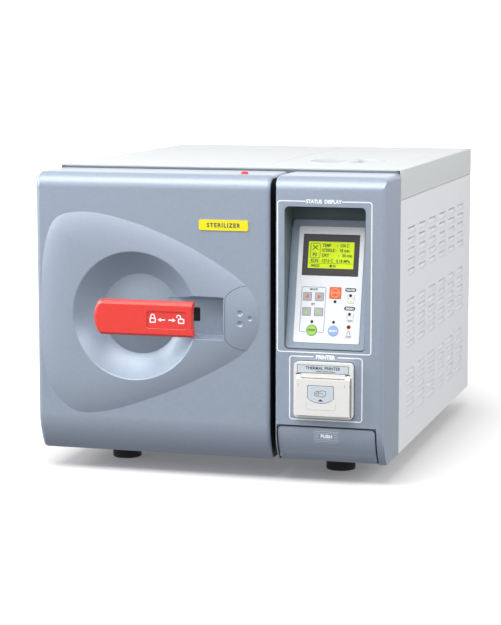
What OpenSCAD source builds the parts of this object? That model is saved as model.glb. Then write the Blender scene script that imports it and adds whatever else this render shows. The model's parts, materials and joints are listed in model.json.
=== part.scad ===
// Benchtop autoclave: side-hinged door with a sliding lock handle, control column with
// a display, a panel printer and a service flap, and a louvred cabinet over the chamber.
// Millimetres. X to the right, Y to the back, Z up. Origin under the middle of the machine.

/* [Cabinet] */
// Width over the side panels
body_w = 480; // [478:1:482]
// Height of the cabinet, without the feet
body_h = 382; // [380:1:384]
// Depth from the front moulding to the rear panel
body_d = 650; // [640:1:660]
// Depth of the door and of the control housing
front_t = 96.5; // [94:0.5:98]
// Height of the rubber feet
foot_h = 30; // [28:1:34]
// Radius of the rubber feet
foot_r = 20; // [16:1:22]
// Thickness of the sheet metal
sheet = 1.5; // [1:0.1:1.6]
// Height of the top cover's side skirts
skirt_h = 40; // [34:1:44]

/* [Front mouldings] */
// Wall of the plastic mouldings
wall = 3; // [2.6:0.1:3.2]
// Radius where the front rolls back into the top
roll_r = 20; // [16:1:22]
// Height over which the bottom tucks back
tuck_h = 50; // [46:1:54]
// Radius of the tucked bottom
tuck_r = 72.5; // [70:0.5:76]
// Right edge of the door
door_x1 = 86; // [85:0.5:87]
// Left edge of the control housing
panel_x0 = 94; // [93:0.5:95]
// Step from the top cover down to the mouldings
step_h = 4; // [3:0.5:5]

/* [Door and chamber] */
// Inner radius of the chamber
chamber_r = 125; // [123:0.5:126]
// Length of the chamber's straight wall
chamber_l = 430; // [400:5:430]
// Distance of the chamber's axis from the machine's middle
chamber_x = -80; // [-81:0.5:-79]
// Height of the chamber's axis above the cabinet's bottom
chamber_h = 188; // [187:0.5:189]
// Outer radius of the chamber's flange
flange_r = 145; // [143:0.5:146]
// Radius of the dish in the door cover
dish_r = 86; // [82:1:88]
// Depth of the dish
dish_d = 22; // [20:0.5:23]

/* [Display] */
// Lean of the display panel from upright
lean = 13; // [12:0.5:14]
// Diameter of the indicator lamps
led_d = 2.4; // [2:0.1:3]
// How far the keys stand out of the overlay
key_proud = 0.5; // [0.4:0.1:0.8]

/* [Hidden] */
$fn = 64;
eps = 0.01;

// Main planes
hw = body_w / 2;
front_y = -body_d / 2;
cab_y = front_y + front_t;
rear_y = body_d / 2;
zb = foot_h;
zt = foot_h + body_h;
mould_top = zt - step_h;
door_back = cab_y - 1.5;
panel_back = cab_y - 0.2;
skirt_z = zt - skirt_h;
panel_gap = 0.7;

// Colours
blue = [0.45, 0.51, 0.59];
dark_blue = [0.36, 0.41, 0.49];
white = [0.90, 0.91, 0.90];
cream = [0.94, 0.93, 0.88];
steel = [0.72, 0.73, 0.75];
black = [0.10, 0.10, 0.11];

// Chamber axis
cx = chamber_x;
cz = zb + chamber_h;
flange_y = cab_y - 2.5;
flange_t = 12;

// Door hinge
hinge_x = -hw + 8;
hinge_y = cab_y - 13.5;
hinge_z = [zb + 60, zb + 320];
barrel_r = 7;
pin_r = 3;
fit = 0.05;

// Handle and lock
dish_x = -99;
grip_x0 = -154.5;
grip_x1 = -15.5;
grip_z0 = zb + 162.8;
grip_z1 = zb + 210;
grip_bow = 38.5;
slot_x = [-125, -15];
slot_z = [zb + 181, zb + 199.5];
channel_x1 = 22.5;
channel_z = [zb + 161.5, zb + 217];
channel_d = 14;
slider_y = front_y + 29;
slider_t = 6;
bolt_dz = 150;
bolt_y = cab_y - 25.5;
plate_y = cab_y - 21.5;
plate_t = 12;

// Raised crown in the middle of the door: its outline (X, height above the cabinet's bottom)
crown_at = [-88, zb + 190];
crown_r = 2600;
crown_h = 7.5;
crown_points = [[-234, 182], [-230, 264], [-214, 313], [-179, 325], [-134, 321], [-72, 303],
    [-6, 273], [54, 233], [73, 191], [54, 147], [-7, 109], [-74, 79], [-137, 58], [-185, 55],
    [-217, 81], [-231, 122]];
button_c = [43.8, front_y + 29.5];

// Control housing
recess_x = [106, 214];
recess_z = [zb + 152, zb + 339];
panel_p = [front_y + 3, zb + 155];
panel_t = 4;
window_x = [123.3, 198.8];
window_v = [94.3, 148.9];
overlay_t = 0.6;
key_t = 2;

// Printer
prn_x = [121, 200];
prn_z = [zb + 63, zb + 137];
prn_proud = 8;
prn_d = 62;
lid_axis = [front_y - 6, zb + 118];
roll_c = [front_y + 25, zb + 88];
roll_or = 19;
spindle_r = 5.95;
platen_c = [front_y + 3, zb + 112];
platen_r = 4;

// Service bay
bay_x = [96, 229.5];
bay_top = zb + 51;
bay_d = 70;
flap_axis = [front_y + 26, zb + 6];
flap_pin_r = 1.5;
knob_z = zb + 27;
knob_x = [125, 160];

// Tank, lid and cap
lid_x = [38, 214];
lid_y = [cab_y + 85, cab_y + 530];
cap_c = [126, cab_y + 180];
cap_r = 52;
tank_lo = [76, cab_y + 92, zb + 240];
tank_hi = [212, cab_y + 524, zb + 366];
neck_r = 45;

// Fan
fan_c = [150, zb + 130];
fan_r = 48;

// Keys: centre along X, centre up the panel, width, height
square_keys = [["key_left", 132.6, 66.5, 11.4, 10.6], ["key_right", 149, 66.5, 11.4, 10.6],
    ["key_up", 132.6, 46.7, 11.4, 10.6], ["key_down", 149, 46.7, 11.4, 10.6],
    ["key_stop", 170, 72.1, 15.2, 14.8]];
round_keys = [["key_start", 141, 22.3, 7], ["key_select", 169.9, 22.3, 6.8]];
led_at = [[170.2, 60.7], [140.7, 33.5], [169.8, 33.8], [190.5, 69.3], [190.5, 44.8], [190.3, 28]];

// Points of an arc, from angle a0 to a1 in n steps
function arc(x, y, r, a0, a1, n = 8) =
    [for (i = [0 : n]) let (a = a0 + (a1 - a0) * i / n) [x + r * cos(a), y + r * sin(a)]];

// Outline of a rectangle with round corners
function round_rect(x0, y0, x1, y1, r) = concat(
    arc(x1 - r, y1 - r, r, 0, 90), arc(x0 + r, y1 - r, r, 90, 180),
    arc(x0 + r, y0 + r, r, 180, 270), arc(x1 - r, y0 + r, r, 270, 360));

// Closed smooth curve through the points, n steps between two of them
function smooth(p, n = 5) = let (m = len(p)) [for (i = [0 : m - 1], j = [0 : n - 1])
    let (t = j / n, a = p[(i + m - 1) % m], b = p[i], c = p[(i + 1) % m], d = p[(i + 2) % m])
    b + 0.5 * t * ((c - a) + t * ((2 * a - 5 * b + 4 * c - d) + t * (3 * (b - c) + d - a)))];

// Side view of the front mouldings, set in by t, open at the back
function moulding_side(t, back) = let (
    r = tuck_r - t,
    a = asin((tuck_h - t) / r)) concat(
    [[back, zb + t]],
    [for (p = arc(front_y + tuck_r, zb + tuck_h, r, 180 + a, 180)) p],
    arc(front_y + roll_r, mould_top - roll_r, roll_r - t, 180, 90),
    [[back, mould_top - t]]);

// Top view of the door, set in by t
function door_plan(t, back) = concat(
    arc(-hw + 6, front_y + 6, 6 - t, 180, 270, 6),
    arc(door_x1 - 5, front_y + 5, 5 - t, 270, 360, 4),
    [[door_x1 - t, back]],
    t > 0 ? [[-hw + t, back]] : arc(-hw + 8, door_back - 8, 8, 90, 180));

// Top view of the control housing, set in by t
function panel_plan(t, back) = concat(
    arc(panel_x0 + 3 + t, front_y + 3 + t, 3, 180, 270, 4),
    arc(hw - 6, front_y + 6, 6 - t, 270, 360, 6),
    [[hw - t, back], [panel_x0 + t, back]]);

// Front view of a moulding with round top corners, set in by t
function moulding_front(x0, x1, r0, r1, t) = concat(
    arc(x1 - r1, mould_top - r1, r1 - t, 0, 90, 5), arc(x0 + r0, mould_top - r0, r0 - t, 90, 180, 5),
    [[x0 + t, zb - 1], [x1 - t, zb - 1]]);

module block(lo, hi) translate(lo) cube(hi - lo);

module along_x(x0, x1) translate([x0, 0, 0]) rotate([90, 0, 90]) linear_extrude(x1 - x0) children();

module along_y(y0, y1) translate([0, y1, 0]) rotate([90, 0, 0]) linear_extrude(y1 - y0) children();

module along_z(z0, z1) translate([0, 0, z0]) linear_extrude(z1 - z0) children();

module rod_x(x0, x1, y, z, r) along_x(x0, x1) translate([y, z]) circle(r);

module rod_y(x, y0, y1, z, r) along_y(y0, y1) translate([x, z]) circle(r);

module rod_z(x, y, z0, z1, r) along_z(z0, z1) translate([x, y]) circle(r);

// Turns a half section (radius, -Y) about an axis along Y
module turned_y(x, z) translate([x, 0, z]) rotate([90, 0, 0]) rotate_extrude($fn = 96) children();

// Frame of the leaning display panel: X across, Y into the machine, Z up the slope
module on_panel() translate([0, panel_p[0], panel_p[1]]) rotate([-lean, 0, 0]) children();

// ---------- cabinet ----------

module base_pan() color(steel) {
    difference() {
        block([-hw + 2, cab_y, zb], [hw - 2, rear_y - 2, zb + sheet]);
        for (x = [-155, 155], y = [cab_y + 24.5, rear_y - 50])
            rod_z(x, y, zb - 1, zb + sheet + 1, 2.6);
        for (i = [0 : 7])
            block([90 + 16 * i, 60, zb - 1], [96 + 16 * i, 200, zb + sheet + 1]);
    }
    for (s = [-1, 1])
        block([s * (hw - 2.5) - sheet / 2, cab_y + 4, zb + sheet],
            [s * (hw - 2.5) + sheet / 2, rear_y - 4, zb + 26]);
}

module feet() color(black) {
    for (x = [-155, 155], y = [cab_y + 24.5, rear_y - 50])
        translate([x, y, 0]) rotate_extrude() polygon([[0, 0], [foot_r - 1, 0], [foot_r, 1],
            [foot_r, foot_h - 6], [foot_r - 4, foot_h], [0, foot_h]]);
}

module lock_keeper(z) {
    block([-8, cab_y - 2, z - 8], [2 + eps, cab_y, z + 8]);
    block([2, cab_y - 33.5, z - 8], [6, cab_y, z + 8]);
    block([2, cab_y - 33.5, z - 8], [18, cab_y - 27.5, z + 8]);
}

// Sheet that closes an end of the cabinet, inside the covers
module sheet_end(y0, y1) along_y(y0, y1) polygon(concat(
    arc(hw - 7, zt - 7, 5, 0, 90), arc(-hw + 7, zt - 7, 5, 90, 180),
    [[-hw + 2, zb + sheet + 0.2], [hw - 2, zb + sheet + 0.2]]));

module front_frame() color(steel) {
    difference() {
        sheet_end(cab_y, cab_y + 2);
        rod_y(cx, cab_y - 1, cab_y + 3, cz, flange_r + 1.5);
        block([108, cab_y - 1, zb + 60], [225, cab_y + 3, zb + 340]);
    }
    for (s = [-1, 1])
        lock_keeper(cz + s * bolt_dz);
}

// Louvre slots of a side panel: blocks of rows, six columns
louvre_rows = [zb + 301, zb + 202, zb + 105];
louvre_pitch = 14.3;
louvre_x0 = cab_y + 50;
louvre_w = 52;

module louvre_slots(x) {
    for (top = louvre_rows, row = [0 : 4], col = [0 : 5])
        block([x - 2, louvre_x0 + 77.5 * col, top - louvre_pitch * row - 6],
            [x + 2, louvre_x0 + 77.5 * col + louvre_w, top - louvre_pitch * row - 2]);
}

module side_panel(s) {
    x = s > 0 ? hw - sheet : -hw;
    difference() {
        block([x, cab_y, zb], [x + sheet, rear_y, skirt_z - panel_gap]);
        louvre_slots(x + sheet / 2);
    }
}

module left_side_panel() color(white) side_panel(-1);

module right_side_panel() color(white) side_panel(1);

module top_cover() color(white) {
    r = 6;
    difference() {
        along_y(cab_y, rear_y) difference() {
            polygon(concat(arc(hw - r, zt - r, r, 0, 90), arc(-hw + r, zt - r, r, 90, 180),
                [[-hw, skirt_z], [hw, skirt_z]]));
            polygon(concat(arc(hw - r, zt - r, r - sheet, 0, 90),
                arc(-hw + r, zt - r, r - sheet, 90, 180),
                [[-hw + sheet, skirt_z - 1], [hw - sheet, skirt_z - 1]]));
        }
        block([lid_x[0], lid_y[0], zt - 5], [lid_x[1], lid_y[1], zt + 1]);
    }
}

module rear_panel() color(white) {
    difference() {
        sheet_end(rear_y - sheet, rear_y);
        for (i = [-5 : 5], j = [-5 : 5])
            if (norm([i, j]) < 5.3)
                rod_y(fan_c[0] + 8.4 * i, rear_y - 3, rear_y + 1, fan_c[1] + 8.4 * j, 3.2);
        block([-74, rear_y - 3, zb + 46], [-46, rear_y + 1, zb + 66]);
        rod_y(-150, rear_y - 3, rear_y + 1, zb + 56, 6.3);
        rod_y(40, rear_y - 3, rear_y + 1, zb + 56, 6.3);
        rod_y(-150, rear_y - 3, rear_y + 1, zb + 300, 8.3);
        for (i = [0 : 6])
            block([-60 + 14 * i, rear_y - 3, zb + 290], [-54 + 14 * i, rear_y + 1, zb + 340]);
    }
}

screw_z = [zb + 30, zb + 180, zb + 330];

module screw(r) {
    rotate_extrude($fn = 32) polygon([[0, 0], [r, 0], [r * 0.9, 1.2], [r * 0.5, 1.9], [0, 1.9]]);
}

module cover_screws() color(steel) {
    for (s = [-1, 1], z = screw_z)
        translate([s * (hw - 12), rear_y, z]) rotate([-90, 0, 0]) screw(4);
    for (x = [-160, 0, 160])
        translate([x, rear_y, zt - 12]) rotate([-90, 0, 0]) screw(4);
}

// ---------- control housing ----------

// Depth of the recess floor, in the panel's frame
module recess_outline(grow, deep) {
    a = tan(lean);
    fy = panel_p[0] + (panel_t + deep) / cos(lean);
    z0 = recess_z[0] - grow;
    z1 = recess_z[1] + grow;
    polygon([[front_y - (grow > 0 ? -1 : 1), z0], [fy + (z0 - panel_p[1]) * a, z0],
        [fy + (z1 - panel_p[1]) * a, z1], [front_y - (grow > 0 ? -1 : 1), z1]]);
}

module recess_shape(grow) intersection() {
    along_x(recess_x[0] - grow, recess_x[1] + grow) recess_outline(grow, grow);
    along_y(front_y - 2, cab_y) polygon(round_rect(recess_x[0] - grow, recess_z[0] - grow,
        recess_x[1] + grow, recess_z[1] + grow, 6 + grow));
}

module bay_walls() intersection() {
    bay_boxes();
    along_x(panel_x0, hw) polygon(moulding_side(1, panel_back));
}

module bay_boxes() {
    block([bay_x[1], front_y + 3.5, zb + wall], [bay_x[1] + wall, front_y + bay_d + wall, bay_top + wall]);
    block([panel_x0 + 1, front_y + 2, bay_top], [bay_x[1] + wall, front_y + bay_d + wall, bay_top + wall]);
    block([panel_x0 + 1, front_y + bay_d, zb + 1], [bay_x[1] + wall, front_y + bay_d + wall, bay_top + wall]);
}

module switch_hole() block([190, front_y + bay_d - 1, zb + 17], [211, front_y + bay_d + wall + 1, zb + 37]);

module control_housing() color(blue) {
    difference() {
        union() {
            difference() {
                intersection() {
                    along_x(panel_x0, hw) polygon(moulding_side(0, panel_back));
                    along_z(zb - 1, zt) polygon(panel_plan(0, panel_back));
                    along_y(front_y - 1, cab_y) polygon(moulding_front(panel_x0, hw, 4, 8, 0));
                }
                difference() {
                    intersection() {
                        along_x(panel_x0 + 2, hw - wall) polygon(moulding_side(wall, panel_back + 1));
                        along_z(zb, zt) polygon(panel_plan(2, panel_back + 1));
                        along_y(front_y, cab_y + 2) polygon(moulding_front(panel_x0, hw, 4, 8, 2));
                    }
                    block([panel_x0, front_y, zb - 1], [bay_x[0], front_y + bay_d, bay_top]);
                }
            }
            recess_shape(wall);
            bay_walls();
        }
        recess_shape(0);
        block([bay_x[0], front_y - 1, zb - 1], [bay_x[1], front_y + 36, bay_top]);
        block([prn_x[0] + 1, front_y - 1, prn_z[0] + 1], [prn_x[1] - 1, front_y + 5, prn_z[1] - 1]);
        rod_x(panel_x0 - 1, bay_x[1] + wall + 1, flap_axis[0], flap_axis[1], flap_pin_r + fit);
        for (x = knob_x)
            rod_y(x, front_y + bay_d - 1, front_y + bay_d + wall + 1, knob_z, 3 + fit);
        switch_hole();
        on_panel() block([window_x[0] - 2, 1, window_v[0] - 2], [window_x[1] + 2, 9, window_v[1] + 2]);
        on_panel() led_rods(led_d / 2 + 0.3, 1, 9);
    }
}

module led_rods(r, y0, y1) {
    for (p = led_at)
        rod_y(p[0], y0, y1, p[1], r);
}

module key_shape(k, gap, y0, y1) {
    if (len(k) == 5)
        along_y(y0, y1) polygon(round_rect(k[1] - k[3] / 2 - gap, k[2] - k[4] / 2 - gap,
            k[1] + k[3] / 2 + gap, k[2] + k[4] / 2 + gap, 1.2));
    else
        rod_y(k[1], y0, y1, k[2], k[3] + gap);
}

module key_wells(y0, y1) {
    for (k = concat(square_keys, round_keys))
        key_shape(k, 0.35, y0, y1);
}

module display_panel() color(dark_blue) {
    on_panel() difference() {
        along_y(0, panel_t) polygon(round_rect(108, -2, 212, 168, 4));
        block([window_x[0] - 0.2, -1, window_v[0] - 0.2], [window_x[1] + 0.2, 5, window_v[1] + 0.2]);
        led_rods(led_d / 2 + 0.1, -1, 5);
        key_wells(-1, key_t + 0.6);
    }
}

module membrane_overlay() color(cream) {
    on_panel() difference() {
        along_y(-overlay_t, 0) polygon(round_rect(117, 6, 205, 159, 2.5));
        block([window_x[0] - 0.2, -1, window_v[0] - 0.2], [window_x[1] + 0.2, 1, window_v[1] + 0.2]);
        led_rods(led_d / 2 + 0.1, -1, 1);
        key_wells(-1, 1);
    }
}

module display_module() color([0.12, 0.33, 0.22]) {
    on_panel() {
        block([window_x[0] + 1, 2.4, window_v[0] + 1], [window_x[1] - 1, 8.2, window_v[1] - 1]);
        block([112, 8.2, 5], [208, 9.8, 160]);
        for (v = [20, 46.7, 66.5])
            block([126, 9.8, v - 4], [196, 12, v + 4]);
    }
}

module display_window() color([0.62, 0.72, 0.22]) {
    on_panel() block([window_x[0], -overlay_t, window_v[0]], [window_x[1], 2.4, window_v[1]]);
}

module indicator_leds() color(black) {
    on_panel() led_rods(led_d / 2, -overlay_t - 0.4, 8.2);
}

module key(k, c) color(c) on_panel() key_shape(k, 0, -overlay_t - key_proud, key_t - overlay_t - key_proud);

key_grey = [0.62, 0.64, 0.66];

module key_left() key(square_keys[0], key_grey);

module key_right() key(square_keys[1], key_grey);

module key_up() key(square_keys[2], key_grey);

module key_down() key(square_keys[3], key_grey);

module key_stop() key(square_keys[4], [0.92, 0.33, 0.12]);

module key_start() key(round_keys[0], [0.30, 0.62, 0.24]);

module key_select() key(round_keys[1], [0.42, 0.52, 0.85]);

// ---------- printer ----------

module printer_frame() color(cream) {
    x0 = prn_x[0];
    x1 = prn_x[1];
    y0 = front_y - prn_proud;
    difference() {
        union() {
            block([x0, y0, prn_z[0]], [x1, front_y, prn_z[1]]);
            block([x0 + 1.2, front_y - 1, prn_z[0] + 1.2], [x1 - 1.2, front_y + prn_d, prn_z[1] - 1.2]);
        }
        block([x0 + 3, y0 - 1, prn_z[0] + 3], [x1 - 3, front_y + 3, zb + 122]);
        block([x0 + 4.5, front_y + 2, prn_z[0] + 4], [x1 - 4.5, front_y + prn_d - 3, zb + 120]);
        rod_x(x0 - 1, x1 + 1, lid_axis[0], lid_axis[1], 1.5 + fit);
    }
    rod_x(x0 + 4, x0 + 36, roll_c[0], roll_c[1], spindle_r);
}

module printer_lid() color(cream) {
    x0 = prn_x[0] + 3.5;
    x1 = prn_x[1] - 3.5;
    block([x0, front_y - 12, prn_z[0] + 3.8], [x1, front_y - 8.5, zb + 115.5]);
    block([x0, front_y - 12, prn_z[0] + 3.8], [x1, front_y - 5, prn_z[0] + 6.3]);
    for (x = [x0, x1 - 6]) {
        rod_x(x, x + 6, lid_axis[0], lid_axis[1], 2.5);
        block([x, front_y - 9.5, zb + 108], [x + 6, front_y - 5, zb + 117]);
    }
    rod_x(prn_x[0] + 0.6, prn_x[1] - 0.6, lid_axis[0], lid_axis[1], 1.5);
}

module print_mechanism() color([0.25, 0.26, 0.28]) {
    for (x = [126, 193])
        difference() {
            block([x, front_y - 3, zb + 104.5], [x + 2, front_y + 16, zb + 119.5]);
            rod_x(x - 1, x + 3, platen_c[0], platen_c[1], 2 + fit);
        }
    block([128, front_y + 8, zb + 106], [193, front_y + 11, zb + 119.5]);
    block([136, front_y + 11, zb + 108], [185, front_y + 18, zb + 117]);
}

module platen_roller() color(black) {
    rod_x(130, 191.5, platen_c[0], platen_c[1], platen_r);
    rod_x(126.2, 194.8, platen_c[0], platen_c[1], 2);
}

module paper_roll() color([0.97, 0.97, 0.96]) {
    along_x(129, 187) translate(roll_c) difference() {
        circle(roll_or);
        circle(spindle_r + fit);
    }
}

// ---------- service bay ----------

module service_flap() color(blue) {
    gap = 1;
    intersection() {
        difference() {
            along_x(bay_x[0] + gap, bay_x[1] - gap) polygon(moulding_side(0.6, panel_back));
            along_x(bay_x[0] + gap - 1, bay_x[1] - gap + 1) polygon(moulding_side(wall + 0.6, panel_back));
        }
        block([bay_x[0], front_y, zb + 1], [bay_x[1], front_y + 29, bay_top - gap]);
    }
    for (x = [bay_x[0] + gap, bay_x[1] - gap - 4])
        difference() {
            along_x(x, x + 4) polygon([[front_y + 14, zb + 6], [front_y + 24, zb + 2.2],
                [front_y + 29, zb + 2.2], [front_y + 29, zb + 9], [front_y + 6, zb + 26]]);
            rod_x(x - 1, x + 5, flap_axis[0], flap_axis[1], flap_pin_r - eps);
        }
    rod_x(panel_x0 + 0.5, bay_x[0] + gap + 4, flap_axis[0], flap_axis[1], flap_pin_r);
    rod_x(bay_x[1] - gap - 4, bay_x[1] + wall - 0.5, flap_axis[0], flap_axis[1], flap_pin_r);
}

module drain_knob(x) {
    y1 = front_y + bay_d;
    rod_y(x, y1 - 16, y1 - 0.5, knob_z, 9);
    block([x - 2.5, y1 - 24, knob_z - 9], [x + 2.5, y1 - 15, knob_z + 9]);
    rod_y(x, y1 - 1, y1 + 14, knob_z, 3);
}

module clean_drain_knob() color([0.20, 0.40, 0.75]) drain_knob(knob_x[0]);

module waste_drain_knob() color([0.35, 0.36, 0.38]) drain_knob(knob_x[1]);

module power_switch() color([0.80, 0.16, 0.10]) {
    rod_x(191, 210, front_y + bay_d + 2, zb + 27, 7);
    translate([0, front_y + bay_d + 2, zb + 27]) rotate([-8, 0, 0])
        block([191, -6, -7.5], [210, 0, 7.5]);
}

// ---------- water, steam and cooling ----------

module tank_lid() color(white) {
    g = 0.8;
    difference() {
        block([lid_x[0] + g, lid_y[0] + g, zt - 4], [lid_x[1] - g, lid_y[1] - g, zt]);
        block([lid_x[0] + 4, lid_y[0] + 4, zt - 5], [lid_x[1] - 4, lid_y[1] - 4, zt - 1.6]);
        rod_z(cap_c[0], cap_c[1], zt - 12, zt + 1, cap_r + 1);
    }
    rod_ring(cap_c, zt - 11, zt - 1.6, cap_r + 1, cap_r + 3);
    rod_ring(cap_c, zt - 11, zt - 9.5, neck_r + 2, cap_r + 1 + eps);
}

module rod_ring(c, z0, z1, r0, r1) along_z(z0, z1) translate(c) difference() {
    circle(r1);
    circle(r0);
}

module filler_cap() color(white) {
    difference() {
        rod_z(cap_c[0], cap_c[1], zt - 9.2, zt - 1, cap_r);
        difference() {
            rod_z(cap_c[0], cap_c[1], zt - 6, zt, cap_r - 3);
            block([cap_c[0] - 7, cap_c[1] - cap_r, zt - 7], [cap_c[0] + 7, cap_c[1] + cap_r, zt + 1]);
        }
    }
    rod_ring(cap_c, zt - 24, zt - 9.2, neck_r - 4, neck_r - 0.5);
}

module clean_water_tank() color([0.85, 0.89, 0.93]) {
    w = 2.5;
    difference() {
        union() {
            block(tank_lo, tank_hi);
            rod_z(cap_c[0], cap_c[1], tank_hi[2] - 1, zt - 11.4, neck_r + 3);
        }
        block(tank_lo + [w, w, w], tank_hi - [w, w, w]);
        rod_z(cap_c[0], cap_c[1], tank_hi[2] - 5, zt, neck_r);
    }
}

module waste_water_tank() color([0.80, 0.83, 0.86]) {
    w = 2.5;
    lo = [90, 62, zb + 20];
    hi = [214, 205, zb + 150];
    difference() {
        union() {
            block(lo, hi);
            rod_z(200, 80, hi[2] - 1, hi[2] + 12, 12);
        }
        block(lo + [w, w, w], hi - [w, w, w]);
        rod_z(200, 80, hi[2] - 5, hi[2] + 13, 9);
    }
}

module chamber() color(steel) {
    y0 = flange_y;
    y1 = flange_y + flange_t;
    y2 = flange_y + chamber_l;
    t = 2.5;
    dome = 30;
    inner = [for (a = [0 : 10 : 90]) [chamber_r * cos(a), -(y2 + dome * sin(a))]];
    outer = [for (a = [90 : -10 : 0]) [(chamber_r + t) * cos(a), -(y2 + (dome + t) * sin(a))]];
    turned_y(cx, cz) polygon(concat([[chamber_r, -y0]], inner, outer,
        [[chamber_r + t, -y1], [flange_r, -y1], [flange_r, -y0]]));
}

module insulation_jacket() color([0.86, 0.85, 0.80]) {
    along_y(flange_y + 14, flange_y + chamber_l - 2) translate([cx, cz]) difference() {
        circle(142);
        circle(chamber_r + 3);
    }
}

module steam_generator() color(steel) {
    rod_z(112, 10, zb + 14, zb + 160, 34);
    rod_z(112, 10, zb + 160, zb + 172, 12);
    for (a = [45 : 90 : 315])
        rod_z(112 + 28 * cos(a), 10 + 28 * sin(a), zb + sheet, zb + 14, 3);
}

module vacuum_pump() color([0.30, 0.32, 0.35]) {
    block([86, -205, zb + 12], [176, -150, zb + 92]);
    rod_y(131, -150, -60, zb + 52, 33);
    for (x = [92, 170], y = [-200, -156])
        rod_z(x, y, zb + sheet, zb + 12, 4);
}

module condenser() color([0.80, 0.50, 0.32]) {
    for (i = [0 : 5])
        rod_x(96, 206, 262, zb + 60 + 26 * i, 4);
    for (i = [0 : 21])
        difference() {
            block([97 + 5 * i, 246, zb + 48], [98 + 5 * i, 278, zb + 202]);
            for (j = [0 : 5])
                rod_x(96 + 5 * i, 99 + 5 * i, 262, zb + 60 + 26 * j, 4);
        }
}

module fan_frame() color(black) {
    y0 = rear_y - 28;
    y1 = rear_y - 3;
    difference() {
        block([fan_c[0] - 53, y0, fan_c[1] - 53], [fan_c[0] + 53, y1, fan_c[1] + 53]);
        rod_y(fan_c[0], y0 - 1, y1 + 1, fan_c[1], fan_r);
    }
    rod_y(fan_c[0], y1 - 6, y1, fan_c[1], 18);
    rod_y(fan_c[0], y0 + 4, y1 - 5, fan_c[1], 2);
    for (a = [45, 135])
        along_y(y1 - 4, y1) translate(fan_c) rotate(a) square([2 * fan_r + 2, 6], center = true);
}

module fan_rotor() color([0.20, 0.20, 0.22]) {
    y0 = rear_y - 26;
    y1 = rear_y - 10;
    difference() {
        union() {
            rod_y(fan_c[0], y0, y1, fan_c[1], 17);
            for (i = [0 : 6])
                translate([fan_c[0], 0, fan_c[1]]) rotate([0, i * 360 / 7, 0])
                    translate([0, (y0 + y1) / 2, 0]) rotate([0, 0, 35])
                        translate([-1, -8, 15]) cube([2, 16, fan_r - 19]);
        }
        rod_y(fan_c[0], y0 + 1, y1 + 1, fan_c[1], 2 + fit);
    }
}

module solenoid_valves() color([0.55, 0.45, 0.20]) {
    block([92, -190, zb + 126], [204, -150, zb + 146]);
    for (i = [0 : 3]) {
        rod_z(106 + 28 * i, -170, zb + 146, zb + 186, 9);
        rod_y(106 + 28 * i, -150, -132, zb + 136, 4);
    }
}

module control_board() color([0.10, 0.38, 0.20]) {
    block([226, -195, zb + 50], [227.6, -35, zb + 210]);
    for (i = [0 : 3])
        block([215, -180 + 36 * i, zb + 70], [226, -160 + 36 * i, zb + 120]);
    for (i = [0 : 2])
        rod_x(206, 226, -165 + 50 * i, zb + 170, 10);
}

module power_supply() color(steel) {
    difference() {
        block([84, 66, zb + 168], [212, 200, zb + 228]);
        for (i = [0 : 5])
            block([96 + 18 * i, 65, zb + 180], [106 + 18 * i, 67.5, zb + 216]);
    }
}

module rear_fittings() color([0.75, 0.65, 0.35]) {
    for (x = [-150, 40]) {
        rod_y(x, rear_y - 30, rear_y + 1, zb + 56, 6);
        translate([x, 0, zb + 56]) rotate([90, 0, 0]) translate([0, 0, -rear_y - 12])
            rotate_extrude() polygon([[0, 0], [3.5, 0], [5, 3], [3.8, 3], [5, 6], [3.8, 6], [9, 8.5],
                [9, 11], [0, 11]]);
    }
    rod_y(-150, rear_y - 40, rear_y + 12, zb + 300, 8);
    rod_y(-150, rear_y + 0.2, rear_y + 4, zb + 300, 12, $fn = 6);
}

module mains_inlet() color(black) {
    difference() {
        union() {
            block([-73.5, rear_y - 26, zb + 46.5], [-46.5, rear_y + 1, zb + 65.5]);
            block([-80, rear_y, zb + 42], [-40, rear_y + 3, zb + 70]);
        }
        block([-72, rear_y - 14, zb + 48], [-48, rear_y + 4, zb + 64]);
    }
    for (p = [[-60, 58.5], [-65.5, 53], [-54.5, 53]])
        block([p[0] - 1, rear_y - 14 - eps, zb + p[1] - 2], [p[0] + 1, rear_y, zb + p[1] + 2]);
}

// ---------- chamber furniture ----------

rack_hw = 68;
rack_y = [cab_y + 34, cab_y + 416];
ledge_z = [cz - 44, cz + 14];

module tray_rack() color(steel) {
    for (s = [-1, 1]) {
        block([cx + s * rack_hw - 1, rack_y[0], cz - 66], [cx + s * rack_hw + 1, rack_y[1], cz + 66]);
        for (z = ledge_z)
            block([cx + s * (rack_hw - 4) - 4, rack_y[0], z - 1.5],
                [cx + s * (rack_hw - 4) + 4, rack_y[1], z]);
        block([cx + s * 50 - 1, rack_y[0], cz - 113.6], [cx + s * 50 + 1, rack_y[1], cz - 64.5]);
    }
    block([cx - rack_hw, rack_y[0], cz - 66], [cx + rack_hw, rack_y[1], cz - 64.5]);
    for (y = [rack_y[0], rack_y[1] - 8])
        block([cx - rack_hw, y, cz + 64.5], [cx + rack_hw, y + 8, cz + 66]);
}

module tray(z) {
    w = rack_hw - 1.6;
    difference() {
        block([cx - w, rack_y[0] + 3, z + 0.3], [cx + w, rack_y[1] - 3, z + 18]);
        block([cx - w + 1.2, rack_y[0] + 4.2, z + 1.5], [cx + w - 1.2, rack_y[1] - 4.2, z + 19]);
        for (i = [-3 : 3], j = [0 : 13])
            rod_z(cx + 16 * i, rack_y[0] + 26 + 25 * j, z - 1, z + 3, 3.5, $fn = 24);
    }
}

module upper_tray() color(steel) tray(ledge_z[1]);

module lower_tray() color(steel) tray(ledge_z[0]);

// ---------- door ----------

module hinge_notches() {
    for (h = hinge_z)
        rod_z(hinge_x, hinge_y, h - 21.5, h + 21.5, 15.2);
}

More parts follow.
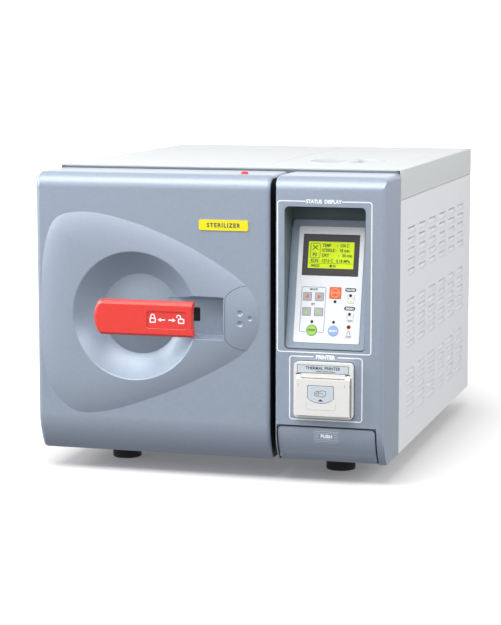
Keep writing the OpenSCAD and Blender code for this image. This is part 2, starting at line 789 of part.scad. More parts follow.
// Tip of the crown, where the thumb plate sits
module thumb_region(gap) polygon([[25.5 - gap, zb + 161.5 - gap], [25.5 - gap, zb + 216 + gap],
    [40, zb + 224.5 + gap], [55, zb + 233.5 + gap], [80, zb + 244], [80, zb + 136], [54, zb + 146.5 - gap],
    [40, zb + 154 - gap]]);

module crown() intersection() {
    along_y(front_y - 9, front_y + eps) translate([0, zb]) polygon(smooth(crown_points));
    translate([crown_at[0], front_y - crown_h + crown_r, crown_at[1]]) sphere(crown_r, $fn = 360);
}

module door_shell() difference() {
    intersection() {
        along_x(-hw, door_x1) polygon(moulding_side(0, door_back));
        along_z(zb - 1, zt) polygon(door_plan(0, door_back));
        along_y(front_y - 1, cab_y) polygon(moulding_front(-hw, door_x1, 8, 5, 0));
    }
    intersection() {
        along_x(-hw + wall, door_x1 - wall) polygon(moulding_side(wall, door_back + 1));
        along_z(zb, zt) polygon(door_plan(wall, door_back + 1));
        along_y(front_y, cab_y + 2) polygon(moulding_front(-hw, door_x1, 8, 5, wall));
    }
}

module door_cover() color(blue) {
    difference() {
        union() {
            door_shell();
            difference() {
                crown();
                along_y(front_y - 10, front_y) thumb_region(0.3);
            }
            turned_y(dish_x, cz) polygon([[0, -front_y - 1], [dish_r + 7, -front_y - 1],
                [dish_r + 7, -front_y - 8], [59, -front_y - dish_d - wall], [0, -front_y - dish_d - wall]]);
            block([-60, front_y + 1, channel_z[0] - wall],
                [channel_x1 + 3.5, front_y + channel_d + wall, channel_z[1] + wall]);
        }
        turned_y(dish_x, cz) polygon([[0, 10 - front_y], [dish_r + 3, 10 - front_y],
            [dish_r - 3, -front_y], [54, -front_y - dish_d], [0, -front_y - dish_d]]);
        block([-60, front_y - 10, channel_z[0]], [channel_x1, front_y + channel_d, channel_z[1]]);
        block([slot_x[0], front_y, slot_z[0]], [slot_x[1], front_y + 30, slot_z[1]]);
        rod_z(button_c[0], button_c[1], mould_top - 5, mould_top + 1, 5);
        hinge_notches();
    }
}

module door_plate() color(steel) {
    y1 = plate_y + plate_t;
    block([hinge_x + 10, plate_y, cz - 138], [62, y1, cz + 138]);
    for (x = [-200, 8], z = [zb + 75, zb + 305])
        rod_y(x, front_y + wall, plate_y + eps, z, 6);
    for (z = [grip_z0 + 3, grip_z1 + 7.5])
        block([-150, front_y + 26, z], [-20, plate_y + eps, z + 5]);
}

module pressure_disc() color([0.80, 0.81, 0.83]) {
    y0 = plate_y + plate_t;
    turned_y(cx, cz) polygon([[0, -y0], [138, -y0], [138, -y0 - 5], [108, -y0 - 5],
        [102, -y0 - 2], [0, -y0 - 2]]);
}

module door_gasket() color([0.90, 0.88, 0.84]) {
    y0 = plate_y + plate_t + 5;
    along_y(y0, flange_y - 0.3) translate([cx, cz]) difference() {
        circle(137);
        circle(126);
    }
}

module hinge_brackets() color(steel) {
    for (h = hinge_z) {
        rod_z(hinge_x, hinge_y, h - 8, h + 8, barrel_r);
        block([hinge_x - 5, hinge_y, h - 8], [hinge_x + 6, cab_y, h + 8]);
        rod_z(hinge_x, hinge_y, h - 20, h + 20, pin_r);
    }
}

module hinge_leaves() color(steel) {
    for (h = hinge_z, s = [-1, 1])
        difference() {
            union() {
                rod_z(hinge_x, hinge_y, h + s * 14.3 - 5.7, h + s * 14.3 + 5.7, barrel_r);
                block([hinge_x, hinge_y - 6, h + s * 14.3 - 5.7],
                    [hinge_x + 10, hinge_y + 4, h + s * 14.3 + 5.7]);
            }
            rod_z(hinge_x, hinge_y, h + s * 14.3 - 7, h + s * 14.3 + 7, pin_r + fit);
        }
}

// Dimples of the thumb plate: X, height, sphere radius, how far its centre is in front
dimples = [[46.5, 196.8, 4.9, 6.9], [46.5, 182.7, 4.9, 6.9], [59.5, 190, 3.9, 5.6]];

module thumb_plate() color(blue) {
    difference() {
        intersection() {
            crown();
            along_y(front_y - 10, front_y) thumb_region(0);
        }
        for (p = dimples)
            translate([p[0], front_y - p[3], zb + p[1]]) sphere(p[2]);
    }
}

module name_badge() color([0.95, 0.85, 0.10]) {
    along_y(front_y - 1, front_y) polygon(round_rect(-10, zb + 305, 57, zb + 319, 2));
}

module handle() color([0.86, 0.12, 0.08]) {
    y0 = front_y - 12;
    y1 = front_y + 9;
    zm = (grip_z0 + grip_z1) / 2;
    bow = asin((grip_z1 - grip_z0) / 2 / grip_bow);
    difference() {
        intersection() {
            along_x(grip_x0, grip_x1) polygon([[y1, grip_z0], [y0 + 5, grip_z0], [y0, grip_z0 + 8],
                [y0, grip_z1 - 7], [y0 + 5, grip_z1], [y1, grip_z1]]);
            along_y(y0 - 1, y1 + 1) polygon(concat(
                arc(grip_x0 + grip_bow, zm, grip_bow, 180 - bow, 180 + bow, 10),
                [[grip_x1, grip_z0], [grip_x1, grip_z1]]));
            along_z(zb, zt) polygon([[grip_x0 - 1, y0 - 1], [grip_x1 - 6, y0 - 1], [grip_x1, y0 + 6],
                [grip_x1, y1 + 1], [grip_x0 - 1, y1 + 1]]);
        }
        along_y(y0 - 1, y0 + 0.6) polygon(round_rect(-79.5, zb + 173.5, -24.7, zb + 196.5, 3));
    }
    block([-112, y1 - eps, slot_z[0] + 2], [-60, slider_y, slot_z[1] - 2]);
}

module lock_slider() color(steel) {
    y1 = slider_y + slider_t;
    block([-150, slider_y, grip_z0 + 9], [46, y1, grip_z1 + 6.5]);
    block([34, slider_y, cz - bolt_dz - 5], [46, y1, cz + bolt_dz + 5]);
    for (s = [-1, 1]) {
        z = cz + s * bolt_dz;
        block([34, y1 - eps, z - 5], [46, bolt_y + slider_t, z + 5]);
        block([20, bolt_y, z - 5], [34 + eps, bolt_y + slider_t, z + 5]);
    }
}

module release_button() color([0.80, 0.14, 0.10]) {
    rod_z(button_c[0], button_c[1], mould_top - wall - 3, mould_top + 1.5, 4.6);
    rod_z(button_c[0], button_c[1], mould_top - wall - 3, mould_top - wall - 0.3, 7);
}

base_pan();
feet();
front_frame();
left_side_panel();
right_side_panel();
top_cover();
rear_panel();
cover_screws();
control_housing();
display_panel();
membrane_overlay();
display_module();
display_window();
indicator_leds();
printer_frame();
print_mechanism();
chamber();
insulation_jacket();
steam_generator();
vacuum_pump();
clean_water_tank();
waste_water_tank();
condenser();
fan_frame();
solenoid_valves();
control_board();
power_supply();
rear_fittings();
mains_inlet();
hinge_brackets();
tank_lid();
filler_cap();
key_left();
key_right();
key_up();
key_down();
key_stop();
key_start();
key_select();
printer_lid();
platen_roller();
paper_roll();
service_flap();
power_switch();
clean_drain_knob();
waste_drain_knob();
fan_rotor();
tray_rack();
upper_tray();
lower_tray();
door_cover();
door_plate();
pressure_disc();
door_gasket();
hinge_leaves();
thumb_plate();
name_badge();
handle();
lock_slider();
release_button();
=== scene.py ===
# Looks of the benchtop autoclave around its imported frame.
# X to the right, Y to the back, Z up. Sizes are in millimetres until they reach Blender.
import json
import math

import bpy
import numpy as np
from mathutils import Matrix, Vector, geometry

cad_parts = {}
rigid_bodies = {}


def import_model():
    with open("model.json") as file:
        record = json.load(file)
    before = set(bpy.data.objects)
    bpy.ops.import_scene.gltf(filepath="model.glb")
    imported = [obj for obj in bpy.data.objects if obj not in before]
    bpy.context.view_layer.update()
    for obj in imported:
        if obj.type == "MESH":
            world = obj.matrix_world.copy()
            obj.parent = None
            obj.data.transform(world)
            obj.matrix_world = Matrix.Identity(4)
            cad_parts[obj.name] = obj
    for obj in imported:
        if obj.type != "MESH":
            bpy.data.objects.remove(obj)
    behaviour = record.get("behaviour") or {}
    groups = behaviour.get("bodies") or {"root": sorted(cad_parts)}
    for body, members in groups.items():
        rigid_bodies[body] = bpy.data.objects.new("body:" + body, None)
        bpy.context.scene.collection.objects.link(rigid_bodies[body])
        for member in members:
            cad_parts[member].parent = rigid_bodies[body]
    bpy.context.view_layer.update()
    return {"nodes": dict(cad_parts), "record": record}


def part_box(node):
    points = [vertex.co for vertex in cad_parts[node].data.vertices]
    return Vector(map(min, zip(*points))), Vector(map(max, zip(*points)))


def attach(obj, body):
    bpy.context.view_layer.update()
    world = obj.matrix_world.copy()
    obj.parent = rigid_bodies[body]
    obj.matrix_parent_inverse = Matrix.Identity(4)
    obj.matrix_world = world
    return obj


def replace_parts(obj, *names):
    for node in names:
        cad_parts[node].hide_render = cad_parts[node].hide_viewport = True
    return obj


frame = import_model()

MM = 0.001


def box_mm(node):
    low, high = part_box(node)
    return np.array(low) / MM, np.array(high) / MM


# ---------- main planes, from the frame ----------

HOUSING_LOW, HOUSING_HIGH = box_mm("control_housing")
DOOR_LOW, DOOR_HIGH = box_mm("door_cover")
COVER_LOW, COVER_HIGH = box_mm("top_cover")
HANDLE_LOW, HANDLE_HIGH = box_mm("handle")

BASE = HOUSING_LOW[2]
FRONT = HOUSING_LOW[1]
ROOF = HOUSING_HIGH[2]
CABINET = COVER_LOW[1]
SIDE = HOUSING_HIGH[0]

# Side view of the mouldings: a flat front, a rolled top edge, and a bottom that curves back to a
# small lip.
TUCK_H = 50.0
TUCK_R = 72.5
ROLL_R = 20.0
LIP_R = 3.0
WALL = 2.8
DOOR_WALL = 2.6    # less than LIP_R, so that the lip's inner side has a curve too

# The display leans back by LEAN about a line near the lower edge of its recess.
LEAN = math.radians(13)
SLOPE = Matrix.Translation((0, FRONT + 3, BASE + 155)) @ Matrix.Rotation(-LEAN, 4, "X")


# ---------- materials ----------

ROUGH_SPREAD = 0.06
COAT_ROUGH = 0.28


def srgb(*colour):
    """Linear colour of an 8-bit sRGB one, with alpha 1."""
    parts = [v / 255 for v in colour]
    return [v / 12.92 if v <= 0.04045 else ((v + 0.055) / 1.055) ** 2.4 for v in parts] + [1.0]


def set_inputs(node, values):
    for key, value in values.items():
        node.inputs[key].default_value = value
    return node


def material(name, colour, rough, metal=0.0, spread=0.06, scale=260.0, stretch=(1, 1, 1),
             bump=0.0, bump_scale=1500.0, coat=0.0, glow=0.0, shine=0.5):
    """A finish whose colour and roughness vary with noise by `spread` and ROUGH_SPREAD."""
    mat = bpy.data.materials.new(name)
    mat.use_nodes = True
    nodes, links = mat.node_tree.nodes, mat.node_tree.links
    shader = nodes["Principled BSDF"]
    base = srgb(*colour)[:3]
    where = nodes.new("ShaderNodeTexCoord")
    spot = set_inputs(nodes.new("ShaderNodeMapping"), {"Scale": stretch})
    links.new(where.outputs["Object"], spot.inputs["Vector"])
    clouds = set_inputs(nodes.new("ShaderNodeTexNoise"), {"Scale": scale, "Detail": 3.0})
    links.new(spot.outputs["Vector"], clouds.inputs["Vector"])
    ramp = nodes.new("ShaderNodeValToRGB")
    low, high = ramp.color_ramp.elements
    low.position = 0.3
    high.position = 0.7
    low.color = [c * (1 - spread) for c in base] + [1]
    high.color = [min(1, c * (1 + spread)) for c in base] + [1]
    links.new(clouds.outputs["Fac"], ramp.inputs["Fac"])
    links.new(ramp.outputs["Color"], shader.inputs["Base Color"])
    sheen = set_inputs(nodes.new("ShaderNodeMapRange"), {
        "To Min": max(0.02, rough - ROUGH_SPREAD), "To Max": min(1.0, rough + ROUGH_SPREAD)})
    links.new(clouds.outputs["Fac"], sheen.inputs["Value"])
    links.new(sheen.outputs["Result"], shader.inputs["Roughness"])
    set_inputs(shader, {"Metallic": metal, "Specular IOR Level": shine})
    if bump:
        grain = set_inputs(nodes.new("ShaderNodeTexNoise"), {"Scale": bump_scale, "Detail": 2.0})
        links.new(spot.outputs["Vector"], grain.inputs["Vector"])
        relief = set_inputs(nodes.new("ShaderNodeBump"), {"Strength": bump, "Distance": 0.0002})
        links.new(grain.outputs["Fac"], relief.inputs["Height"])
        links.new(relief.outputs["Normal"], shader.inputs["Normal"])
    if coat:
        set_inputs(shader, {"Coat Weight": coat, "Coat Roughness": COAT_ROUGH})
    if glow:
        links.new(ramp.outputs["Color"], shader.inputs["Emission Color"])
        shader.inputs["Emission Strength"].default_value = glow
    return mat


PAINT = material("blue_grey_paint", (161, 173, 189), 0.44, metal=0.28, spread=0.03, bump=0.06,
                 bump_scale=2600, coat=0.35)
PAINT_DARK = material("blue_grey_panel", (152, 166, 182), 0.42, metal=0.1, spread=0.03, bump=0.06,
                      bump_scale=2600, coat=0.3)
WHITE = material("powder_coat", (226, 227, 229), 0.55, spread=0.012, bump=0.08, bump_scale=1300,
                 shine=0.12)
COVER = material("cover_coat", (204, 206, 207), 0.6, spread=0.01, bump=0.06, bump_scale=1300,
                 shine=0.08)
RED = material("handle_red", (238, 66, 58), 0.36, spread=0.03, bump=0.05, coat=0.25)
YELLOW = material("badge_yellow", (250, 232, 12), 0.4, spread=0.03, coat=0.3)
BLACK = material("black_plastic", (22, 23, 26), 0.5, spread=0.1, bump=0.1)
CREAM = material("cream_plastic", (234, 233, 230), 0.5, spread=0.015, bump=0.18, bump_scale=1800)
LCD = material("lcd", (188, 208, 16), 0.3, spread=0.05, scale=40, glow=0.45)
LCD_INK = material("lcd_ink", (40, 104, 40), 0.5, spread=0.1)
INK = material("dark_ink", (52, 56, 62), 0.5, spread=0.08)
# Its glow is painted light that keeps the white print bright.
PALE_INK = material("pale_ink", (244, 246, 250), 0.45, spread=0.02, glow=0.15)
LABEL = material("pale_blue_label", (208, 218, 226), 0.4, spread=0.02)
KEY_GREY = material("key_grey", (176, 180, 186), 0.45, spread=0.03)
KEY_ORANGE = material("key_orange", (246, 104, 40), 0.42, spread=0.03)
KEY_GREEN = material("key_green", (166, 212, 96), 0.42, spread=0.03)

BY_SLOT = {
    "housing_blue": PAINT, "housing_dark": PAINT_DARK, "cabinet_white": WHITE,
    "handle_red": RED, "badge_yellow": YELLOW, "black_plastic": BLACK, "cream_plastic": CREAM,
    "key_grey": KEY_GREY, "key_orange": KEY_ORANGE, "key_green": KEY_GREEN,
    "key_blue": material("key_blue", (156, 178, 226), 0.42, spread=0.03),
    # The overlay's glow is painted light: it lifts the recess's shade off the white overlay.
    "membrane_white": material("overlay", (228, 230, 234), 0.45, spread=0.01, bump=0.05,
                               bump_scale=3000, glow=0.1),
    "lcd_green": material("window", (66, 62, 66), 0.16, spread=0.05, coat=0.5),
    "frame_steel": material("zinc_steel", (168, 171, 176), 0.38, metal=0.9, scale=420, spread=0.08),
    "stainless": material("stainless", (196, 198, 202), 0.28, metal=1.0, scale=500,
                          stretch=(1, 0.06, 1), spread=0.07, bump=0.08),
    "rubber_black": material("rubber", (24, 24, 26), 0.75, spread=0.12, bump=0.25),
    "silicone_seal": material("silicone", (214, 210, 198), 0.55, spread=0.04),
    "paper_white": material("paper", (240, 240, 238), 0.8, spread=0.02),
    "tank_plastic": material("tank_plastic", (206, 216, 226), 0.4, spread=0.03),
    "insulation": material("glass_fibre", (214, 208, 190), 0.9, spread=0.12, scale=600, bump=0.5),
    "pump_grey": material("pump_grey", (92, 98, 106), 0.5, spread=0.06, bump=0.2),
    "copper": material("copper", (196, 128, 92), 0.32, metal=1.0, spread=0.08),
    "brass_parts": material("brass", (190, 160, 92), 0.3, metal=1.0, spread=0.06),
    "board_green": material("board_green", (28, 108, 56), 0.35, spread=0.12),
    "knob_blue": material("knob_blue", (48, 92, 168), 0.42, spread=0.04),
    "knob_grey": material("knob_grey", (96, 98, 104), 0.45, spread=0.04),
    "switch_red": material("switch_red", (196, 44, 30), 0.3, spread=0.04, coat=0.3),
}


# ---------- mesh helpers ----------

def linked(name, data):
    """A new object with that data, in the scene."""
    thing = bpy.data.objects.new(name, data)
    bpy.context.scene.collection.objects.link(thing)
    return thing


def piece(name, verts, faces, mat, body, slot=None, at=None, sharp=35.0, normals=None):
    """A mesh object from vertices in millimetres, riding on a body."""
    points = np.asarray(verts, float)
    if at is not None:
        turn = np.array(at)
        points = points @ turn[:3, :3].T + turn[:3, 3]
    mesh = bpy.data.meshes.new(name)
    mesh.from_pydata((points * MM).tolist(), [], [list(f) for f in faces])
    mesh.materials.append(mat)
    mesh.shade_smooth()
    if normals is None:
        mesh.set_sharp_from_angle(angle=math.radians(sharp))
    else:
        mesh.normals_split_custom_set(normals)
    thing = linked(name, mesh)
    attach(thing, body)
    return thing


def soften(thing, width, segments=3, angle=30.0):
    bevel = thing.modifiers.new("edge", "BEVEL")
    bevel.width = width * MM
    bevel.segments = segments
    bevel.limit_method = "ANGLE"
    bevel.angle_limit = math.radians(angle)
    bevel.harden_normals = True
    return thing


def dress(node, width=0.0):
    """Gives a CAD node its finish and, where asked, rounded edges."""
    thing = frame["nodes"][node]
    mesh = thing.data
    mesh.materials.clear()
    mesh.materials.append(OWN_FINISH.get(node) or BY_SLOT[SLOT_OF[node]])
    if "custom_normal" in mesh.attributes:
        mesh.attributes.remove(mesh.attributes["custom_normal"])
    mesh.shade_smooth()
    weld = thing.modifiers.new("weld", "WELD")
    weld.merge_threshold = 0.00001
    flat = thing.modifiers.new("merge", "DECIMATE")
    flat.decimate_type = "DISSOLVE"
    flat.angle_limit = math.radians(0.6)
    soften(thing, width or 0.15, 2 if width < 0.6 else 3)


def prism(outlines, y0, y1):
    """Vertices and faces of (x, z) outlines carried from y0 to y1, joined where they share a side."""
    spots, rims = {}, []
    for outline in outlines:
        rim = [spots.setdefault((round(x, 4), round(z, 4)), len(spots)) for x, z in outline]
        rims.append([spot for i, spot in enumerate(rim) if spot != rim[i - 1]])
    n = len(spots)
    verts = [(x, y, z) for y in (y0, y1) for x, z in spots]
    edges = {edge for rim in rims for edge in zip(rim, rim[1:] + rim[:1])}
    faces = rims + [[n + i for i in reversed(rim)] for rim in rims]
    faces += [(b, a, n + a, n + b) for a, b in sorted(edges) if (b, a) not in edges]
    return verts, faces


def rectangle(x0, z0, x1, z1):
    return [(x0, z0), (x1, z0), (x1, z1), (x0, z1)]


def arc(x, z, r, a0, a1, n=6):
    return [(x + r * math.cos(math.radians(a0 + (a1 - a0) * i / n)),
             z + r * math.sin(math.radians(a0 + (a1 - a0) * i / n))) for i in range(n + 1)]


def rounded(x0, z0, x1, z1, r):
    return (arc(x1 - r, z1 - r, r, 0, 90) + arc(x0 + r, z1 - r, r, 90, 180)
            + arc(x0 + r, z0 + r, r, 180, 270) + arc(x1 - r, z0 + r, r, 270, 360))


def disc(x, z, r, n=32):
    return arc(x, z, r, 0, 360 - 360 / n, n - 1)


def stroke(path, width, closed=False):
    """Four-cornered outlines that draw a line of that width along the path."""
    pts = [np.array(p, float) for p in path]
    count = len(pts)
    sides = []
    for i, p in enumerate(pts):
        before = pts[i - 1] if i or closed else p
        after = pts[(i + 1) % count] if i < count - 1 or closed else p
        a = (p - before) / (np.linalg.norm(p - before) or 1)
        b = (after - p) / (np.linalg.norm(after - p) or 1)
        way = a + b
        way = way / (np.linalg.norm(way) or 1)
        across = np.array([-way[1], way[0]])
        lean = max(0.4, abs(float(np.dot(across, [-b[1], b[0]] if b.any() else [-a[1], a[0]]))))
        sides.append((p + across * width / 2 / lean, p - across * width / 2 / lean))
    last = count if closed else count - 1
    return [[tuple(sides[i][0]), tuple(sides[i][1]), tuple(sides[(i + 1) % count][1]),
             tuple(sides[(i + 1) % count][0])] for i in range(last)]


# Printing starts GAP in front of its face. A label is a border, its field and the ink, each in
# front of the last.
GAP = 0.02
BORDER = 0.08
FIELD = 0.06
INKED = 0.05


def print_on(name, outlines, y, mat, body="cabinet", at=None, thick=0.12, slot=None):
    """Flat printing or a plate that stands `thick` in front of y."""
    verts, faces = prism(outlines, y - thick, y)
    return piece(name, verts, faces, mat, body, slot, at)


def ring(name, outer, inner, y0, y1, mat, body, slot=None):
    """A plate from y0 back to y1 with a hole; both outlines run the same way round."""
    n, m = len(outer), len(inner)
    verts = [(x, y, z) for y in (y0, y1) for x, z in list(outer) + list(inner)]
    caps = geometry.tessellate_polygon([[Vector((x, z, 0)) for x, z in loop]
                                        for loop in (outer, inner)])
    faces = []
    for a, b, c in caps:
        (ax, _, az), (bx, _, bz), (cx, _, cz) = (verts[i] for i in (a, b, c))
        if (bx - ax) * (cz - az) - (bz - az) * (cx - ax) < 0:
            a, c = c, a
        faces += [(a, b, c), (c + n + m, b + n + m, a + n + m)]
    for start, count, flip in ((0, n, False), (n, m, True)):
        for i in range(count):
            a, b = start + i, start + (i + 1) % count
            quad = (b, a, a + n + m, b + n + m)
            faces.append(quad[::-1] if flip else quad)
    return piece(name, verts, faces, mat, body, slot)


CAPITAL = 0.7    # height of the font's capitals at size 1


def word(name, text, x, z, height, y, mat, body="cabinet", at=None, align="CENTER", wide=1.0,
         thick=0.12, bold=0.022, apart=1.0):
    """Plain lettering whose capitals are `height` tall."""
    font = bpy.data.curves.new(name, "FONT")
    font.body = text
    font.align_x = align
    font.resolution_u = 3
    font.offset = bold
    font.space_character = apart
    font.extrude = 0.5
    thing = linked(name, font)
    bpy.context.view_layer.update()
    shaped = bpy.data.meshes.new_from_object(thing.evaluated_get(
        bpy.context.evaluated_depsgraph_get()))
    bpy.data.objects.remove(thing)
    raw = np.array([v.co for v in shaped.vertices])
    faces = [list(f.vertices) for f in shaped.polygons]
    grow = height / CAPITAL
    verts = np.stack([x + raw[:, 0] * grow * wide, y - thick * (raw[:, 2] + 0.5),
                      z + raw[:, 1] * grow], 1)
    return piece(name, verts, faces, mat, body, None, at)


# ---------- moulded sheets ----------

TUCK_END = math.asin(TUCK_H / TUCK_R)
FLAT_Z = BASE + TUCK_H
FLAT_LEN = ROOF - ROLL_R - FLAT_Z
ROLL_LEN = ROLL_R * math.pi / 2
TUCK_LEN = TUCK_R * TUCK_END
LIP_LEN = LIP_R * (math.pi / 2 - TUCK_END)
AT_LIP = 0.4
AT_LIP_LEN = 24.0


def section(v):
    """Side view of a moulding at length v up from the flat front: y, z and outward normal."""
    v = np.asarray(v, float)
    low = np.clip(-v / TUCK_R, 0, TUCK_END)
    lip = np.clip((-v - TUCK_LEN) / LIP_R, 0, math.pi / 2 - TUCK_END)
    high = np.clip((v - FLAT_LEN) / ROLL_R, 0, math.pi / 2)
    under = np.clip(-v - TUCK_LEN - LIP_LEN, 0, None)
    over = np.clip(v - FLAT_LEN - ROLL_LEN, 0, None)
    turn = low + lip
    y = (FRONT + (TUCK_R - LIP_R) * (1 - np.cos(low)) + LIP_R * (1 - np.cos(turn))
         + ROLL_R * (1 - np.cos(high)) + under + over)
    z = (FLAT_Z + np.clip(v, 0, FLAT_LEN) - (TUCK_R - LIP_R) * np.sin(low)
         - LIP_R * np.sin(turn) + ROLL_R * np.sin(high))
    return y, z, -np.cos(turn) * np.cos(high), np.sin(high) - np.sin(turn)


def tucked_in(v):
    """Share of a side edge's rounding that is left where the bottom lip turns under."""
    t = np.clip((np.asarray(v, float) + TUCK_LEN + 2) / AT_LIP_LEN, 0, 1)
    return AT_LIP + (1 - AT_LIP) * t * t * (3 - 2 * t)


def normals_of(surface, u, v, step=0.12):
    across = surface(u + step, v) - surface(u - step, v)
    along = surface(u, v + step) - surface(u, v - step)
    n = np.cross(across, along)
    return n / np.maximum(np.linalg.norm(n, axis=1, keepdims=True), 1e-9)


def inside(points, outline):
    """Which points lie in the closed outline."""
    x, z = points[:, 0], points[:, 1]
    odd = np.zeros(len(points), bool)
    for (ax, az), (bx, bz) in zip(outline, np.roll(outline, -1, axis=0)):
        if az != bz:
            hit = (az > z) != (bz > z)
            odd ^= hit & (x < (bx - ax) * (z - az) / (bz - az) + ax)
    return odd


def distance(points, outline):
    """Distance of each point to the closed outline."""
    best = np.full(len(points), 1e9)
    for a, b in zip(outline, np.roll(outline, -1, axis=0)):
        d = b - a
        t = np.clip(((points - a) @ d) / (d @ d), 0, 1)
        best = np.minimum(best, np.linalg.norm(points - a - t[:, None] * d, axis=1))
    return best


def smooth_loop(control, n):
    """Closed smooth curve through the control points, n steps between two of them."""
    p = np.array(control, float)
    a, b, c, d = np.roll(p, 1, 0), p, np.roll(p, -1, 0), np.roll(p, -2, 0)
    out = []
    for i in range(len(p)):
        for t in np.arange(n) / n:
            out.append(b[i] + 0.5 * t * ((c[i] - a[i]) + t * (
                (2 * a[i] - 5 * b[i] + 4 * c[i] - d[i]) + t * (3 * (b[i] - c[i]) + d[i] - a[i]))))
    return np.array(out)


def shifted(loop, by):
    """The closed loop moved sideways, outward for a clockwise loop and positive `by`."""
    way = np.roll(loop, -1, 0) - np.roll(loop, 1, 0)
    way /= np.linalg.norm(way, axis=1, keepdims=True)
    return loop + by * np.stack([-way[:, 1], way[:, 0]], 1)


def triangulated(points, loops):
    """Triangles over the points, with the closed loops kept as edges."""
    every, edges = [tuple(p) for p in points], []
    for loop in loops:
        start = len(every)
        every += [tuple(p) for p in loop]
        edges += [(start + i, start + (i + 1) % len(loop)) for i in range(len(loop))]
    verts, _, faces, _, _, _ = geometry.delaunay_2d_cdt(
        [Vector(p) for p in every], edges, [], 0, 1e-4)
    return np.array(verts), np.array(faces)


def shell(name, surface, flat, faces, thick, mat, body, slot=None):
    """A sheet over the flat mesh with a back face and closed rims."""
    used = np.unique(faces)
    index = np.full(len(flat), -1)
    index[used] = np.arange(len(used))
    faces = index[faces]
    u, v = flat[used, 0], flat[used, 1]
    out, normal = surface(u, v), normals_of(surface, u, v)
    count = len(out)
    verts = np.concatenate([out, out - normal * thick])
    sides = {}
    for a, b, c in faces:
        for e in ((a, b), (b, c), (c, a)):
            if (e[1], e[0]) in sides:
                del sides[(e[1], e[0])]
            else:
                sides[e] = True
    every = [tuple(f) for f in faces] + [(c + count, b + count, a + count) for a, b, c in faces]
    corner = [normal[i] for f in faces for i in f] + [-normal[i] for f in faces for i in f[::-1]]
    for a, b in sides:
        every.append((b, a, a + count, b + count))
        edge = np.cross(verts[a] - verts[b], verts[a + count] - verts[a])
        edge = edge / max(np.linalg.norm(edge), 1e-9)
        corner += [edge] * 4
    return piece(name, verts, every, mat, body, slot, normals=[tuple(n) for n in corner])


# ---------- door ----------

DOOR_R = (6.5, 5.0)
DOOR_X = (DOOR_LOW[0], DOOR_HIGH[0])
DOOR_BACK = DOOR_HIGH[1] - 1.6
HINGES = (90, 350)
HINGE_HALF = 21.5
HINGE_FRONT = -254.9

# The crown is the raised swoosh, the dish is round and sunk into it, and the channel leads from the
# dish to the thumb plate. Their heights are above BASE, which is LIFT below v = 0.
LIFT = FLAT_Z - BASE
CROWN = smooth_loop([(-234, 182), (-230, 264), (-214, 313), (-179, 325), (-134, 321), (-72, 303),
                     (-6, 273), (54, 233), (73, 191), (54, 147), (-7, 109), (-74, 79), (-137, 58),
                     (-185, 55), (-217, 81), (-231, 122)], 16)
CROWN_H = 7.0
CROWN_W = 60.0
CROWN_POWER = 2.8
DISH = (-99.0, 188.0)
DISH_R = (54.0, 86.0)
DISH_D = 22.0
DISH_RIM = 6.2
DISC_DOME = 5.0
CHANNEL_X = (-60.0, 19.5, 24.6)
CHANNEL_Z = (160.5, 163.0, 211.0, 217.0)
CHANNEL_D = 18.5
SLOT = np.array(rounded(-125, 180.7, -15, 199.5, 2.5)[::-1])
THUMB = [(27, 161.5), (27, 175), (27, 188), (27, 202), (27, 216), (30.5, 221.5), (37, 227),
         (46, 231.2), (54.5, 233)]
THUMB_LOW = [(54.5, 146.6), (46, 148.2), (37, 151.5), (31, 156)]
DIMPLES = ((46.9, 197.0, 4.0), (46.9, 182.9, 4.0), (59.9, 190.2, 3.2))
DIMPLE_D = 1.5

# The release button's place, as (u, v), its hole and the dent round it.
BUTTON = (43.8, 9.5 + FLAT_LEN + ROLL_LEN)
BUTTON_HOLE = 4.9
DENT = (8.5, 7.0)
DENT_D = 0.9

# Lines that the door's mesh goes through, close together where its profile bends.
CREASE = (-1.2, -0.4, 0.0, 0.5)
BESIDE_CREASE = (-6.0, -4.0, -2.4, 1.8)
DISH_LINES = (52.4, 53.2, 53.8, 54.4, 55.2, 56.4, 60, 65, 70, 75, 79, 82, 83.6, 84.6, 85.4, 86.2,
              87.0, 88.0, 89.4)
CHANNEL_TOP = (209.6, 210.4, 211, 211.8, 213, 214.2, 215.4, 216.2, 216.8, 217.4, 218.2)
CHANNEL_FOOT = (159.2, 159.9, 160.5, 161.1, 161.7, 162.3, 162.9, 163.5, 164.3)
CHANNEL_END = (18.4, 19.1, 19.8, 20.8, 22, 23.2, 24.1, 24.8, 25.6)
DIMPLE_LINES = (0.01, 0.3, 0.55, 0.8, 0.92, 1.0, 1.1)
DENT_LINES = (0.7, 0.76, 0.84, 0.92, 1.0, 1.06)


def crown_height(points):
    d = np.where(inside(points, CROWN), distance(points, CROWN), 0)
    return CROWN_H * (1 - (1 - np.clip(d / CROWN_W, 0, 1)) ** CROWN_POWER)


def lower_of(a, b, round_off=1.2):
    gap = np.clip(1 - np.abs(a - b) / round_off, 0, 1)
    return np.minimum(a, b) - gap * gap * round_off / 4


def higher_of(a, b, round_off=1.2):
    return -lower_of(-a, -b, round_off)


